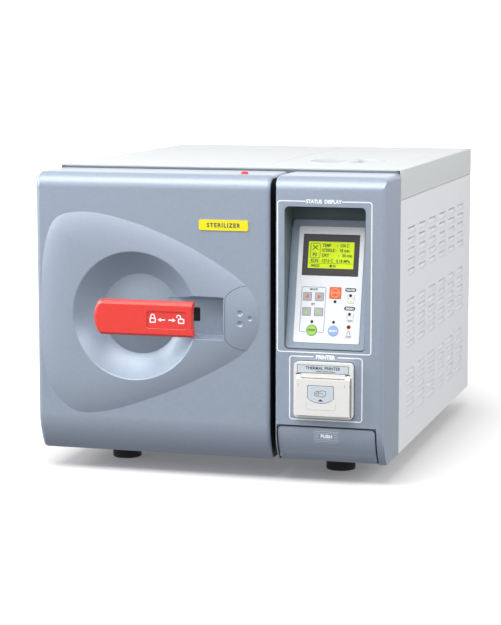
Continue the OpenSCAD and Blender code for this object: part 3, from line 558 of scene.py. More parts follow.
def door_height(u, v):
    """How far the door's face stands out of its plane at u across and v up."""
    points = np.stack([np.asarray(u, float), np.asarray(v, float) + LIFT], -1)
    x, z = points[:, 0], points[:, 1]
    out = crown_height(points)
    from_axis = np.hypot(x - DISH[0], z - DISH[1])
    part = np.clip((from_axis - DISH_R[0]) / (DISH_R[1] - DISH_R[0]), 0, 2)
    dome = DISC_DOME * np.clip(1 - (from_axis / DISH_R[0]) ** 2, 0, 1)
    cone = dome - DISH_D + (DISH_D + DISH_RIM) * (0.5 * part + 0.5 * part ** 2)
    ramp = -DISH_D + (DISH_D - CHANNEL_D) * np.clip((x + 50) / 70, 0, 1)
    rise = CHANNEL_D + 6
    groove = higher_of(ramp, ramp + (z - CHANNEL_Z[2]) * rise / (CHANNEL_Z[3] - CHANNEL_Z[2]))
    groove = higher_of(groove, ramp + (CHANNEL_Z[1] - z) * rise / (CHANNEL_Z[1] - CHANNEL_Z[0]))
    groove = higher_of(groove, ramp + (x - CHANNEL_X[1]) * rise / (CHANNEL_X[2] - CHANNEL_X[1]))
    groove = np.where(x < CHANNEL_X[0], 1e3, groove)
    out = lower_of(out, lower_of(cone, groove))
    for cx, cz, r in DIMPLES:
        near = np.hypot(x - cx, z - cz) / r
        out = out - DIMPLE_D * np.clip(1 - near ** 2, 0, 1) ** 0.8
    on_top = np.hypot((x - BUTTON[0]) / DENT[0], (z - LIFT - BUTTON[1]) / DENT[1])
    return out - DENT_D * np.clip((1 - on_top) * 4, 0, 1)


def door_surface(u, v):
    """Points of the door's outside at u across and v up, with rounded side edges."""
    u, v = np.asarray(u, float), np.asarray(v, float)
    (x0, x1), (r0, r1) = DOOR_X, DOOR_R
    left = np.clip((x0 + r0 - u) / r0, 0, math.pi / 2)
    right = np.clip((u - x1 + r1) / r1, 0, math.pi / 2)
    x = np.clip(u, x0 + r0, x1 - r1) - r0 * np.sin(left) + r1 * np.sin(right)
    inset = (r0 * (1 - np.cos(left)) + r1 * (1 - np.cos(right))) * tucked_in(v)
    y, z, ny, nz = section(v)
    out = door_height(u, v) - inset
    return np.stack([x, y + ny * out, z + nz * out], -1)


def grid(xs, zs):
    gx, gz = np.meshgrid(xs, zs)
    return np.stack([gx.ravel(), gz.ravel()], 1)


def door_points():
    """Places on the door's face that its mesh goes through, as (u, v)."""
    u0 = DOOR_X[0] + DOOR_R[0]
    u1 = DOOR_X[1] - DOOR_R[1]
    left = u0 - np.linspace(0, 1, 7) * DOOR_R[0] * math.pi / 2
    right = u1 + np.linspace(0, 1, 7) * DOOR_R[1] * math.pi / 2
    across = np.concatenate([left[::-1], np.linspace(u0, u1, 28)[1:-1], right])
    top = FLAT_LEN + ROLL_LEN
    back = DOOR_BACK - FRONT
    under = back - TUCK_R * (1 - math.cos(TUCK_END)) - LIP_R * math.cos(TUCK_END)
    lip = -TUCK_LEN - LIP_LEN * np.linspace(1, 0.2, 5)
    up = np.concatenate([[lip[0] - under], lip, np.linspace(-TUCK_LEN, 0, 13), [4.0], [FLAT_LEN - 4],
                         np.linspace(FLAT_LEN, top, 13), [top + back - ROLL_R]])
    edges = grid(across, up)
    sides = grid(np.concatenate([left, right]), np.linspace(4, FLAT_LEN - 4, 60))
    face = grid(np.arange(u0 + 3, u1 - 1, 3.2), np.arange(55.0, 327.0, 3.2))
    face = face[distance(face, CROWN) > BESIDE_CREASE[-1]] - (0, LIFT)
    bands = [shifted(CROWN, by) for by in BESIDE_CREASE]
    for r in DISH_LINES:
        a = np.radians(np.arange(0, 360, 1.0 if r > 60 else 1.5))
        bands.append(np.stack([DISH[0] + r * np.cos(a), DISH[1] + r * np.sin(a)], 1))
    along, corner = np.arange(-58.0, 26.5, 1.0), np.arange(-62.0, -10, 1.3)
    bands += [grid(along, CHANNEL_TOP), grid(along, CHANNEL_FOOT),
              grid(CHANNEL_END, np.arange(161, 217, 1.0)),
              grid(corner, np.arange(204.0, 226, 1.3)), grid(corner, np.arange(152.0, 166, 1.3))]
    bands += [np.array(disc(x, z, r * k, 24)) for x, z, r in DIMPLES for k in DIMPLE_LINES]
    face = np.concatenate([face] + [band - (0, LIFT) for band in bands])
    a = np.radians(np.arange(0, 360, 10))
    dent = [np.stack([BUTTON[0] + DENT[0] * k * np.cos(a), BUTTON[1] + DENT[1] * k * np.sin(a)], 1)
            for k in DENT_LINES]
    return np.concatenate([edges, sides, face] + dent)


def thumb_loop(gap):
    """Outline of the thumb plate, grown by the gap, with the crown's edge at its tip."""
    tip = sorted([tuple(p) for p in CROWN if p[0] > 55.2], key=lambda p: -p[1])
    loop = np.array(THUMB + tip + THUMB_LOW)
    grown = shifted(loop, gap)
    fixed = slice(len(THUMB), len(THUMB) + len(tip))
    grown[fixed] = loop[fixed]
    return grown - (0, LIFT)


def door_cover():
    hole = np.array(disc(*BUTTON, BUTTON_HOLE, 36))
    outer, inner = thumb_loop(0.3), thumb_loop(-0.25)
    slot = SLOT - (0, LIFT)
    crease = [shifted(CROWN, by) - (0, LIFT) for by in CREASE]
    flat, faces = triangulated(door_points(), [outer, inner, slot, hole] + crease)
    middle = flat[faces].mean(1)
    open_part = inside(middle, slot) | inside(middle, hole)
    cover = faces[~(inside(middle, outer) | open_part)]
    plate = faces[inside(middle, inner)]
    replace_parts(shell("door_face", door_surface, flat, cover, DOOR_WALL, PAINT, "door",
                      "housing_blue"), "door_cover")
    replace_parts(shell("thumb_plate_face", door_surface, flat, plate, 2.4, PAINT, "door",
                      "housing_blue"), "thumb_plate")


def side_cheek(name, x, inset, hinges, mat, slot):
    """Flat side wall of the door, cut round its hinges."""
    top = FLAT_LEN + ROLL_LEN
    v = np.concatenate([-TUCK_LEN - LIP_LEN * np.linspace(1, 0.2, 5), np.linspace(-TUCK_LEN, 0, 13),
                        np.linspace(FLAT_LEN, top, 13)])
    y, z, ny, nz = section(v)
    inset_at = inset * tucked_in(v)
    curve = [tuple(p) for p in np.stack([y - ny * inset_at, z - nz * inset_at], 1)]
    outline = [(DOOR_BACK, curve[0][1])] + curve + [(DOOR_BACK, ROOF - inset)]
    for h in sorted(hinges, reverse=True):
        above, below = h + HINGE_HALF, h - HINGE_HALF
        outline += [(DOOR_BACK, above), (HINGE_FRONT, above), (HINGE_FRONT, below),
                    (DOOR_BACK, below)]
    n = len(outline)
    inner = x - math.copysign(WALL, x)
    verts = [(level, a, b) for level in (x, inner) for a, b in outline]
    faces = [list(range(n)), list(range(2 * n - 1, n - 1, -1))]
    faces += [[(i + 1) % n, i, n + i, n + (i + 1) % n] for i in range(n)]
    piece(name, verts, faces, mat, "door", slot)


def button_cap():
    """Domed cap on the release button."""
    low, high = box_mm("release_button")
    x, y = (low[:2] + high[:2]) / 2
    levels = ((4.7, -1.2), (4.7, 0.9), (4.4, 1.4), (3.4, 1.75), (1.8, 1.95))
    verts, faces, n = [], [], 32
    for r, rise in levels:
        verts += [(a, b, high[2] + rise) for a, b in disc(x, y, r, n)]
    for k in range(n * (len(levels) - 1)):
        beside = k - k % n + (k + 1) % n
        faces.append((k, beside, beside + n, k + n))
    faces += [range(n)[::-1], range(len(verts) - n, len(verts))]
    piece("release_cap", verts, faces, RED, "release_button", "handle_red")


door_cover()
button_cap()
side_cheek("door_left_wall", DOOR_X[0] + 0.02, DOOR_R[0], HINGES, PAINT, "housing_blue")
# The right wall is black as painted shade: it stands for the dark gap between door and housing.
side_cheek("door_right_wall", DOOR_X[1] - 0.02, DOOR_R[1], (), BLACK, "black_plastic")


# ---------- CAD nodes and their finishes ----------

# The finish of a node is its slot's, save in OWN_FINISH. ROUNDED has edge radii. The nodes in REMADE
# are drawn again by this script.
SLOT_OF = {row["node"]: row["material_slot"] for row in frame["record"]["subparts"]}
# The lock slider is black as painted shade: through the door's slot it stands for the dark inside.
OWN_FINISH = {"lock_slider": BLACK, "tank_lid": COVER, "filler_cap": COVER}
ROUNDED = {
    "control_housing": 0.8, "service_flap": 0.8, "display_panel": 0.6, "membrane_overlay": 0.15,
    "printer_lid": 0.9, "tank_lid": 0.5, "filler_cap": 0.8, "release_button": 0.6, "feet": 0.8,
    "mains_inlet": 0.5, "clean_drain_knob": 0.8, "waste_drain_knob": 0.8,
}
REMADE = ("door_cover", "thumb_plate", "handle", "left_side_panel", "right_side_panel",
          "top_cover", "name_badge", "printer_frame")


RECESS_X = (104, 216)
RECESS_Y = (FRONT + 0.5, FRONT + 70)
RECESS_Z = (BASE + 150, BASE + 345)


def paint_recess_shade():
    """Gives the walls of the display recess a darker colour: painted shade."""
    mesh = frame["nodes"]["control_housing"].data
    # Painted shade: the recess walls get a darker colour than the housing round them.
    mesh.materials.append(material("recess_painted_shade", (112, 126, 130), 0.5, spread=0.04, bump=0.06))
    for face in mesh.polygons:
        x, y, z = (c / MM for c in face.center)
        if all(a < at < b for at, (a, b) in zip((x, y, z), (RECESS_X, RECESS_Y, RECESS_Z))):
            face.material_index = 1


for node in frame["nodes"]:
    if node not in REMADE:
        dress(node, ROUNDED.get(node, 0.0))
paint_recess_shade()


# ---------- handle ----------

GRIP_FRONT = HANDLE_LOW[1]
GRIP_DEEP = 10.0
GRIP_LOW = BASE + 162.8
GRIP_HIGH = BASE + 210
LABEL_BOX = (-79.5, BASE + 173.5, -24.7, BASE + 196.5)
LABEL_DEEP = 1.1
ICON_Z = BASE + 185.2


def grip_outline():
    """Outline of the grip, bowed at its left end and notched at its right end."""
    x0, x1, z0, z1 = HANDLE_LOW[0], HANDLE_HIGH[0], GRIP_LOW, GRIP_HIGH
    notch = [(x1, z0 + 10), (x1 - 1.6, z0 + 11), (x1 - 1.6, z1 - 9), (x1, z1 - 8)]
    return np.array(arc(x1 - 1.5, z0 + 1.5, 1.5, 270, 360, 4) + notch
                    + arc(x1 - 1.5, z1 - 1.5, 1.5, 0, 90, 4)
                    + arc(x0 + 10.6, z1 - 2.5, 2.5, 90, 145, 4)
                    + arc(x0 + 38.5, (z0 + z1) / 2, 38.5, 147, 213, 16)
                    + arc(x0 + 10.6, z0 + 2.5, 2.5, 215, 270, 4))


def grip():
    """Grip with sloped edges and a sunken label field."""
    front, back = GRIP_FRONT, GRIP_FRONT + GRIP_DEEP
    loop = grip_outline()
    way = np.roll(loop, -1, 0) - np.roll(loop, 1, 0)
    way /= np.linalg.norm(way, axis=1, keepdims=True)
    out = np.stack([way[:, 1], -way[:, 0]], 1)
    slope = np.where(out[:, :1] < 0, 3.6, 0.9), np.where(out[:, 1:] > 0, 5.4, 3.0)
    inset = np.concatenate(slope, 1) * out
    levels = ((back, 0.08), (back - 0.6, 0.0), (front + 2.9, 0.0), (front + 2.4, 0.05),
              (front + 0.4, 0.93), (front + 0.1, 0.99), (front, 1.06))
    verts, faces, n = [], [], len(loop)
    for y, k in levels:
        verts += [(a, y, b) for a, b in loop - inset * k]
    for k in range(len(levels) - 1):
        faces += [[k * n + (i + 1) % n, k * n + i, (k + 1) * n + i, (k + 1) * n + (i + 1) % n]
                  for i in range(n)]
    faces.append(list(range(n)))
    label = rounded(*LABEL_BOX, 3)
    rim, hole, m = len(verts) - n, len(verts), len(label)
    verts += [(a, y, b) for y in (front, front + LABEL_DEEP) for a, b in label]
    cap = geometry.tessellate_polygon([[Vector((v[0], v[2], 0)) for v in verts[rim:hole]],
                                       [Vector((a, b, 0)) for a, b in label]])
    for tri in cap:
        tri = [rim + i for i in tri]
        a, b, c = (np.array(verts[i]) for i in tri)
        faces.append(tri[::-1] if np.cross(b - a, c - a)[1] > 0 else tri)
    faces += [[hole + i, hole + (i + 1) % m, hole + m + (i + 1) % m, hole + m + i]
              for i in range(m)]
    faces.append([hole + m + i for i in range(m)])
    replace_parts(piece("handle_grip", verts, faces, RED, "handle", "handle_red"), "handle")


def stem():
    """Bar from the grip through the door's slot."""
    verts, faces = prism([rectangle(-112, BASE + 183, -60, BASE + 197.5)], GRIP_FRONT + 9, FRONT + 29)
    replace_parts(piece("handle_stem", verts, faces, RED, "handle", "handle_red"), "handle")


def handle_printing():
    """Closed and open padlock with arrows, and the light and shade on the label's edge."""
    z = ICON_Z
    icons = []
    for x, aside in ((-71.5, 0), (-31.9, -3.4)):
        foot = 3.6 if aside else 2.4
        icons += stroke(rounded(x - 3.6, z - 3.6, x + 3.6, z + 1.9, 0.5), 1.5, True)
        icons += stroke([(x + aside + 2.6, z + 2.4)] + arc(x + aside, z + 4.4, 2.6, 0, 180, 8)
                        + [(x + aside - 2.6, z + foot)], 1.4)
    for tip, tail in ((-64.6, -54.2), (-39.6, -49.6)):
        way = 1 if tail > tip else -1
        icons.append([(tip, z), (tip + way * 4.4, z + 2.7), (tip + way * 4.4, z - 2.7)])
        icons.append([(tip + way * 4.2, z + 0.85), (tail, z + 0.85), (tail, z - 0.85),
                      (tip + way * 4.2, z - 0.85)])
    print_on("handle_icons", icons, GRIP_FRONT + LABEL_DEEP, PALE_INK, "handle", thick=0.15)
    x0, z0, x1, z1 = LABEL_BOX
    upper, lower = [], []
    for side in stroke(rounded(x0 - 0.3, z0 - 0.3, x1 + 0.3, z1 + 0.3, 3.2), 0.45, True):
        middle = sum(p[1] for p in side) / 4
        (upper if middle > z0 + 1.0 else lower).append(side)
    for name, sides, colour in (("shade", upper, (214, 50, 44)), ("light", lower, (255, 150, 140))):
        print_on(f"handle_label_{name}", sides, GRIP_FRONT - 0.01,
                 material(f"red_{name}", colour, 0.4), "handle", thick=INKED)


def handle():
    grip()
    stem()
    handle_printing()
    for thing in bpy.data.objects:
        if thing.name.startswith("handle_"):
            # Seen as it is, but it tints neither the dish behind it nor the floor.
            thing.visible_glossy = False
            thing.visible_diffuse = False


handle()


# ---------- printing on the front ----------

FACE = FRONT - GAP
FRAME_R = 3.5


def frame_line(name, x0, z0, x1, z1, gap, text, height):
    """Printed frame that is open between gap[0] and gap[1], where its heading stands."""
    r = FRAME_R
    z0, z1 = BASE + z0, BASE + z1
    path = ([(gap[0], z1)] + arc(x0 + r, z1 - r, r, 90, 180) + arc(x0 + r, z0 + r, r, 180, 270)
            + arc(x1 - r, z0 + r, r, 270, 360) + arc(x1 - r, z1 - r, r, 0, 90) + [(gap[1], z1)])
    print_on(name, stroke(path, 1.3), FACE, PALE_INK, thick=0.1)
    word(name + "_heading", text, sum(gap) / 2, z1 - height / 2, height, FACE, PALE_INK,
         thick=0.1, wide=0.92, bold=0.04)


frame_line("status_frame", 96.8, 148.5, 222, 346, (134, 182.6), "STATUS  DISPLAY", 4.6)
frame_line("printer_line", 113.6, 59.2, 210.7, 143, (145, 178), "PRINTER", 5.0)


def badge():
    low, high = box_mm("name_badge")
    plate = print_on("badge_plate", [rounded(low[0], low[2], high[0], high[2], 2)], high[1], YELLOW,
                     "door", thick=high[1] - low[1], slot="badge_yellow")
    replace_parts(plate, "name_badge")
    word("badge_word", "STERILIZER", 23.5, BASE + 309.4, 5.4, low[1] - 0.01,
         material("badge_ink", (20, 84, 96), 0.45, spread=0.05), "door", bold=0.03, apart=1.22)


badge()


# ---------- display ----------

# On the display x runs as before and v up its slope. GLASS is the overlay's face, PAD the keys'.
GLASS = -0.62
PAD = GLASS - 0.5
SCREEN = (130.7, 104.0, 191.9, 139.2)
SCREEN_T = 0.12
KEYS = {"left": (132.6, 66.5), "right": (149, 66.5), "up": (132.6, 46.7), "down": (149, 46.7),
        "stop": (170, 72.1), "start": (141, 22.3), "select": (169.9, 22.3)}
LAMPS = ((170.2, 60.7), (140.7, 33.5), (169.8, 33.8), (190.5, 69.3), (190.5, 44.8), (190.3, 28))
LAMP_R = 1.25
TEXT_DROP = 1.2


def panel_print(name, outlines, mat, y=GLASS, body="cabinet", thick=0.1):
    return print_on(name, outlines, y, mat, body, SLOPE, thick)


def panel_word(name, text, x, v, height, mat, y=GLASS, body="cabinet", align="CENTER", wide=1.0):
    return word(name, text, x, v, height, y, mat, body, SLOPE, align, wide, 0.1, 0.03)


def display_ledge():
    """Sheet behind the display panel that closes the gap between it and the recess."""
    verts, faces = prism([rounded(106.4, -2.0, 213.6, 164, 5.6)], 0.5, 2.5)
    piece("display_ledge", verts, faces, PAINT_DARK, "cabinet", at=SLOPE)


def lcd():
    """The lit screen with its program icon, readings and bar."""
    panel_print("lcd_screen", [rounded(*SCREEN, 0.8)], LCD, thick=SCREEN_T)
    ink = GLASS - SCREEN_T - 0.01
    panel_print("lcd_icon_frame", stroke(rounded(133.6, 117.4, 146.4, 136.8, 1.6), 0.6, True),
                LCD_INK, ink, thick=INKED)
    x0, v0, x1, v1 = 136.4, 128.2, 143.4, 134.2
    panel_print("lcd_icon", stroke([(x0, v0), (x1, v1)], 1.1) + stroke([(x0, v1), (x1, v0)], 1.1),
                LCD_INK, ink, thick=INKED)
    rows = (("P3", 136.6, 119.6, 4.6), ("TEMP      :  134 C", 149, 132.4, 4.0),
            ("STERILE :   18 min", 149, 125.9, 4.0), ("DRY         :   30 min", 149, 119.4, 4.0),
            ("RUN   127.0 C   0.18 MPa", 134.4, 112.0, 4.0),
            ("000223            12:35", 134.8, 105.8, 3.2))
    for k, (text, x, v, height) in enumerate(rows):
        panel_word(f"lcd_row_{k}", text, x, v, height, LCD_INK, ink, align="LEFT", wide=0.86)
    panel_print("lcd_bar", [rectangle(132, 110.4, 190.6, 110.9), rectangle(160, 105.6, 163, 108.6)],
                LCD_INK, ink, thick=INKED)


def beaker(name, v, fill, mat):
    """Icon of a water tank round height v, with its level drawn as `fill`."""
    x0, x1 = 185.8, 197.2
    glass = stroke([(x0, v + 5.6), (x0 + 1.2, v + 4.6), (x0 + 1.9, v - 5.2), (x1 - 1.9, v - 5.2),
                    (x1 - 1.2, v + 4.6), (x1, v + 5.6)], 0.55)
    glass += stroke([(x0 + 1.4, v + 1.6), (x1 - 1.4, v + 1.6)], 0.4)
    panel_print(name, glass, KEY_GREY)
    panel_print(name + "_level", fill, mat)


def key_group_line():
    """Line round the arrow keys, open at the start key."""
    x0, x1, v0, v1, r = 124.8, 157.2, 19.9, 79.0, 2.2
    line = ([(132.6, v0)] + arc(x0 + r, v0 + r, r, 270, 180) + arc(x0 + r, v1 - r, r, 180, 90)
            + arc(x1 - r, v1 - r, r, 90, 0) + arc(x1 - r, v0 + r, r, 0, -90) + [(149.4, v0)])
    panel_print("key_group_line", stroke(line, 0.5), INK)
    panel_word("key_label_mode", "MODE", 141, 74.9, 2.5, INK)
    panel_word("key_label_set", "SET", 141, 55.2, 2.5, INK)


def lamps():
    """Lamp rings, the tanks' icons and the alarm's."""
    for k, (v, text) in enumerate(((76.7, "WATER"), (52.3, "DRAIN"))):
        panel_print(f"lamp_pill_{k}", [rounded(183, v - 2.5, 197.6, v + 2.5, 2.4)], INK)
        panel_word(f"lamp_word_{k}", text, 190.3, v - TEXT_DROP, 2.4, PALE_INK, GLASS - 0.1)
    beaker("clean_icon", 64.4, [[(189.6, 60.2), (191, 62.6), (192.6, 63.4), (193, 60.2)]], YELLOW)
    beaker("waste_icon", 40.2, [[(188.6, 35.6), (188.4, 37.8), (194.6, 37.8), (194.4, 35.6)]],
           KEY_GREY)
    panel_print("alarm_ring", stroke(disc(*LAMPS[-1], 2.4), 0.8, True), KEY_ORANGE)
    rings = [side for x, v in LAMPS for side in stroke(disc(x, v, LAMP_R, 16), 1.5, True)]
    panel_print("lamp_rings", rings, BLACK)
    alarm = stroke([(188.4, 17.6), (188.8, 21), (190.5, 23.2), (192.2, 21), (192.6, 17.6)], 0.6)
    alarm += stroke([(186.8, 16.2), (194.2, 16.2)], 0.7) + stroke([(186.6, 14.2), (194.4, 14.2)], 0.7)
    panel_print("alarm_icon", alarm, INK)


def key_word(key, height, drop, mat):
    x, v = KEYS[key]
    panel_word(f"{key}_word", key.upper(), x, v - drop, height, mat, PAD, f"key_{key}")


def key_printing():
    arrows = {"left": (-1, 0, KEY_ORANGE), "right": (1, 0, KEY_ORANGE), "up": (0, 1, KEY_GREEN),
              "down": (0, -1, KEY_GREEN)}
    for key, (dx, dv, mat) in arrows.items():
        x, v = KEYS[key]
        tip = [(x + 2.6 * dx, v + 2.6 * dv), (x - 2.0 * dx - 2.9 * dv, v - 2.0 * dv + 2.9 * dx),
               (x - 2.0 * dx + 2.9 * dv, v - 2.0 * dv - 2.9 * dx)]
        panel_print(f"arrow_{key}", [tip], mat, PAD, f"key_{key}")
    pale_orange = material("key_orange_print", (255, 190, 160), 0.45, spread=0.02)
    panel_print("stop_ring", stroke(disc(*KEYS["stop"], 5.6), 0.7, True), pale_orange, PAD, "key_stop")
    key_word("stop", 2.6, TEXT_DROP, pale_orange)
    key_word("start", 2.6, TEXT_DROP, material("key_green_print", (24, 92, 48), 0.5))
    panel_print("start_rim", stroke(disc(*KEYS["start"], 6.9), 0.5, True),
                material("key_green_rim", (52, 120, 64), 0.5), PAD, "key_start")
    key_word("select", 2.3, 1.1, PALE_INK)


display_ledge()
lcd()
key_group_line()
lamps()
key_printing()


# ---------- printer and flap ----------

def printer_frame():
    """Frame with rounded corners, the box behind it and the paper spindle."""
    low, high = box_mm("printer_frame")
    x0, z0, x1, z1 = low[0], low[2], high[0], high[2]
    finish = (CREAM, "cabinet", "cream_plastic")
    around = rounded(x0 + 1.2, z0 + 1.2, x1 - 1.2, z1 - 1.2, 1)
    rim = ring("printer_rim", rounded(x0, z0, x1, z1, 5.5),
               rounded(x0 + 3, z0 + 3, x1 - 3, BASE + 122, 0.5), low[1], FRONT, *finish)
    box = ring("printer_box", around, rounded(x0 + 4.5, z0 + 4, x1 - 4.5, BASE + 120, 0.5), FRONT,
               high[1] - 3, *finish)
    back = print_on("printer_back", [around], high[1], CREAM, thick=3, slot="cream_plastic")
    verts, faces = prism([disc(0, 0, 5.95, 24)], -36, -4)
    along_x = Matrix.Rotation(math.pi / 2, 4, "Z")
    spindle = piece("printer_spindle", verts, faces, *finish,
                    at=Matrix.Translation((x0, FRONT + 25, BASE + 88)) @ along_x)
    for part in (soften(rim, 1.0), box, back, spindle):
        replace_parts(part, "printer_frame")


def printer_shades():
    """Painted shadow in the gap round the printer, painted shade on its right side and under the
    strip, and the bar over the paper slit.
    """
    low, high = box_mm("printer_frame")
    # A dark line over the gap round the printer: painted shadow.
    gap = stroke(rounded(low[0] - 0.4, low[2] - 0.4, high[0] + 0.4, high[2] + 0.4, 5.9), 1.3, True)
    print_on("printer_gap_shadow", gap, FACE, material("gap_shade", (74, 84, 98), 0.6), thick=BORDER)
    shade = material("cream_shade", (160, 163, 161), 0.6, spread=0.02)
    # Painted shade on the frame's right side, between lid and frame.
    side = rounded(high[0] - 3.2, low[2] + 3, high[0] - 1.3, low[2] + 55, 0.4)
    print_on("printer_side_shade", [side], low[1] - GAP, shade, thick=FIELD)
    bar = rounded(low[0] + 9.7, low[2] + 52.9, high[0] - 9.7, high[2] - 14.9, 0.3)
    print_on("paper_bar", [bar], low[1] + 0.4, CREAM, thick=0.45)
    # Painted shadow: a line in the shade colour along the lid's top, under the strip.
    fold = stroke([(low[0] + 5, low[2] + 53.4), (high[0] - 5, low[2] + 53.4)], 0.9)
    print_on("lid_top_shadow_line", fold, low[1] - 0.06, shade, thick=INKED)


def strip_printing():
    """Label on the strip above the printer lid."""
    face = box_mm("printer_frame")[0][1] - GAP
    x0, x1, z0, z1 = 125.6, 194.8, BASE + 122.6, BASE + 133.4
    print_on("strip_border", [rounded(x0, z0, x1, z1, 0.6)], face, INK, thick=BORDER)
    print_on("strip_label", [rounded(x0 + 0.6, z0 + 0.6, x1 - 0.6, z1 - 0.6, 0.4)], face - BORDER,
             LABEL, thick=FIELD)
    ink = face - BORDER - FIELD
    word("strip_title", "THERMAL PRINTER", 160.2, z0 + 5.0, 3.8, ink, INK, thick=INKED)
    word("strip_note", "PAPER WIDTH 58 mm", 164, z0 + 1.6, 1.9, ink, INK, thick=INKED)


def lid_shape(g):
    """Outline of the label on the printer lid, smaller by g all round."""
    x0, x1, top = 140.5 + g, 176 - g, BASE + 107.3 - g
    bow = [(x, BASE + z + g) for x, z in ((145, 86.6), (151, 84.3), (158.2, 83.4), (165.4, 84.3),
                                          (171.4, 86.6))]
    return (arc(x1 - 1.5, top - 1.5, 1.5, 0, 90, 4) + arc(x0 + 1.5, top - 1.5, 1.5, 90, 180, 4)
            + [(x0, BASE + 90)] + bow + [(x1, BASE + 90)])[::-1]


def lid_printing():
    """Label with a paper roll and an arrow, and the lid's fine lines in a darker cream as painted
    shade.
    """
    face = box_mm("printer_lid")[0][1] - GAP
    ink = face - BORDER - FIELD
    x, z = 152.6, BASE + 96.5
    roll = stroke(disc(x, z - 0.4, 2.9), 0.6, True) + stroke(disc(x, z - 0.4, 0.9), 0.5, True)
    roll += stroke([(x, z + 2.6), (x + 9.8, z + 4.4), (x + 12.8, z + 2.8), (x + 12.6, z - 1.4),
                    (x + 9.2, z - 4.2), (x + 1.8, z - 2.8)], 0.6)
    roll += stroke([(x + 2.4, z + 1.4), (x + 8, z + 0.6), (x + 9.2, z - 1.8)], 0.5)
    arrow = [(154.6, BASE + 86.4), (161.8, BASE + 86.4), (158.2, BASE + 89.6)]
    # Painted shade: darker cream for the grip groove's line and the pin marks.
    crease = material("cream_groove_shade", (196, 194, 186), 0.5, spread=0.02)
    grip = ([(138.7, BASE + 85.5), (139.4, BASE + 77.5)] + arc(142.6, BASE + 78, 3, 190, 270, 4)
            + arc(175, BASE + 78, 3, 270, 350, 4) + [(178.2, BASE + 77.5), (178.9, BASE + 85.5)])
    marks = [rectangle(a - 0.5, BASE + 106, a + 0.5, BASE + 109.5) for a in (128.2, 190)]
    prints = (("lid_label_border", [lid_shape(0)], face, INK, BORDER),
              ("lid_label", [lid_shape(0.6)], face - BORDER, LABEL, FIELD),
              ("roll_icon", roll, ink, INK, INKED), ("roll_arrow", [arrow], ink, INK, INKED),
              ("lid_grip_line", stroke(grip, 0.5), face, crease, FIELD),
              ("lid_pin_marks", marks, face, crease, FIELD))
    for name, outlines, y, mat, thick in prints:
        print_on(name, outlines, y, mat, "printer_lid", thick=thick)


def on_tuck(thing, extra):
    """Moves a flat piece back onto the tucked curve, whose radius is less by `extra` there."""
    for vert in thing.data.vertices:
        drop = max(0.0, FLAT_Z - vert.co.z / MM)
        radius = TUCK_R - extra
        vert.co.y += MM * (radius - math.sqrt(radius ** 2 - drop ** 2))
    return thing


def push_area():
    """Ribbed field on the flap, where it is pushed; its ribs and rim are lighter as painted highlight.
    """
    face = box_mm("service_flap")[0][1] - GAP
    x0, x1, z0, z1 = 146.4, 179.8, BASE + 28.3, BASE + 46.2
    ribs = []
    for k in range(7):
        z = z0 + 2.2 + k * 2.25
        middle = () if 2 <= k <= 4 else ((x0 + 6.6, x1 - 6.6),)
        for a, b in ((x0 + 1, x0 + 6.6), (x1 - 6.6, x1 - 1)) + middle:
            ribs.append(rectangle(a, z - 0.4, b, z + 0.4))
    # Painted highlight: the ribs and rim are lighter than the flap, where their edges catch light.
    rib_highlight = material("push_rib_highlight", (196, 208, 220), 0.4, spread=0.03)
    on_tuck(print_on("push_ribs", ribs, face, rib_highlight, "service_flap", thick=0.5), 0.6)
    edge = stroke(rounded(x0, z0, x1, z1, 2), 0.5, True)
    on_tuck(print_on("push_rim", edge, face, rib_highlight, "service_flap", thick=0.3), 0.6)
    on_tuck(word("push_word", "PUSH", 163.1, z0 + 7.2, 4.6, face, PALE_INK, "service_flap",
                 bold=0.045), 0.6)


def flap_gap_shadow():
    """Dark line round the service flap, over its gap: painted shadow."""
    x0, x1, top, low = 96.6, 229.2, BASE + 50.2, BASE + 2.0
    side = np.arange(low, top - 6, 3.0)
    path = ([(x0, z) for z in side] + arc(x0 + 6, top - 6, 6, 180, 90, 8)
            + arc(x1 - 6, top - 6, 6, 90, 0, 8) + [(x1, z) for z in side[::-1]])
    # Painted shadow: a black line over the gap round the flap.
    on_tuck(print_on("flap_gap_shadow_line", stroke(path, 1.9), FACE, BLACK), 0)


printer_frame()
printer_shades()
strip_printing()
lid_printing()
push_area()
flap_gap_shadow()


# ---------- cabinet ----------

LOUVRE_TOPS = (301, 202, 105)    # highest louvre of each block, above BASE
LOUVRE_ROWS = 5
LOUVRE_COLUMNS = 6
LOUVRE = {"pitch": 14.3, "high": 9.2, "wide": 53.0, "step": 77.5, "deep": 5.0}


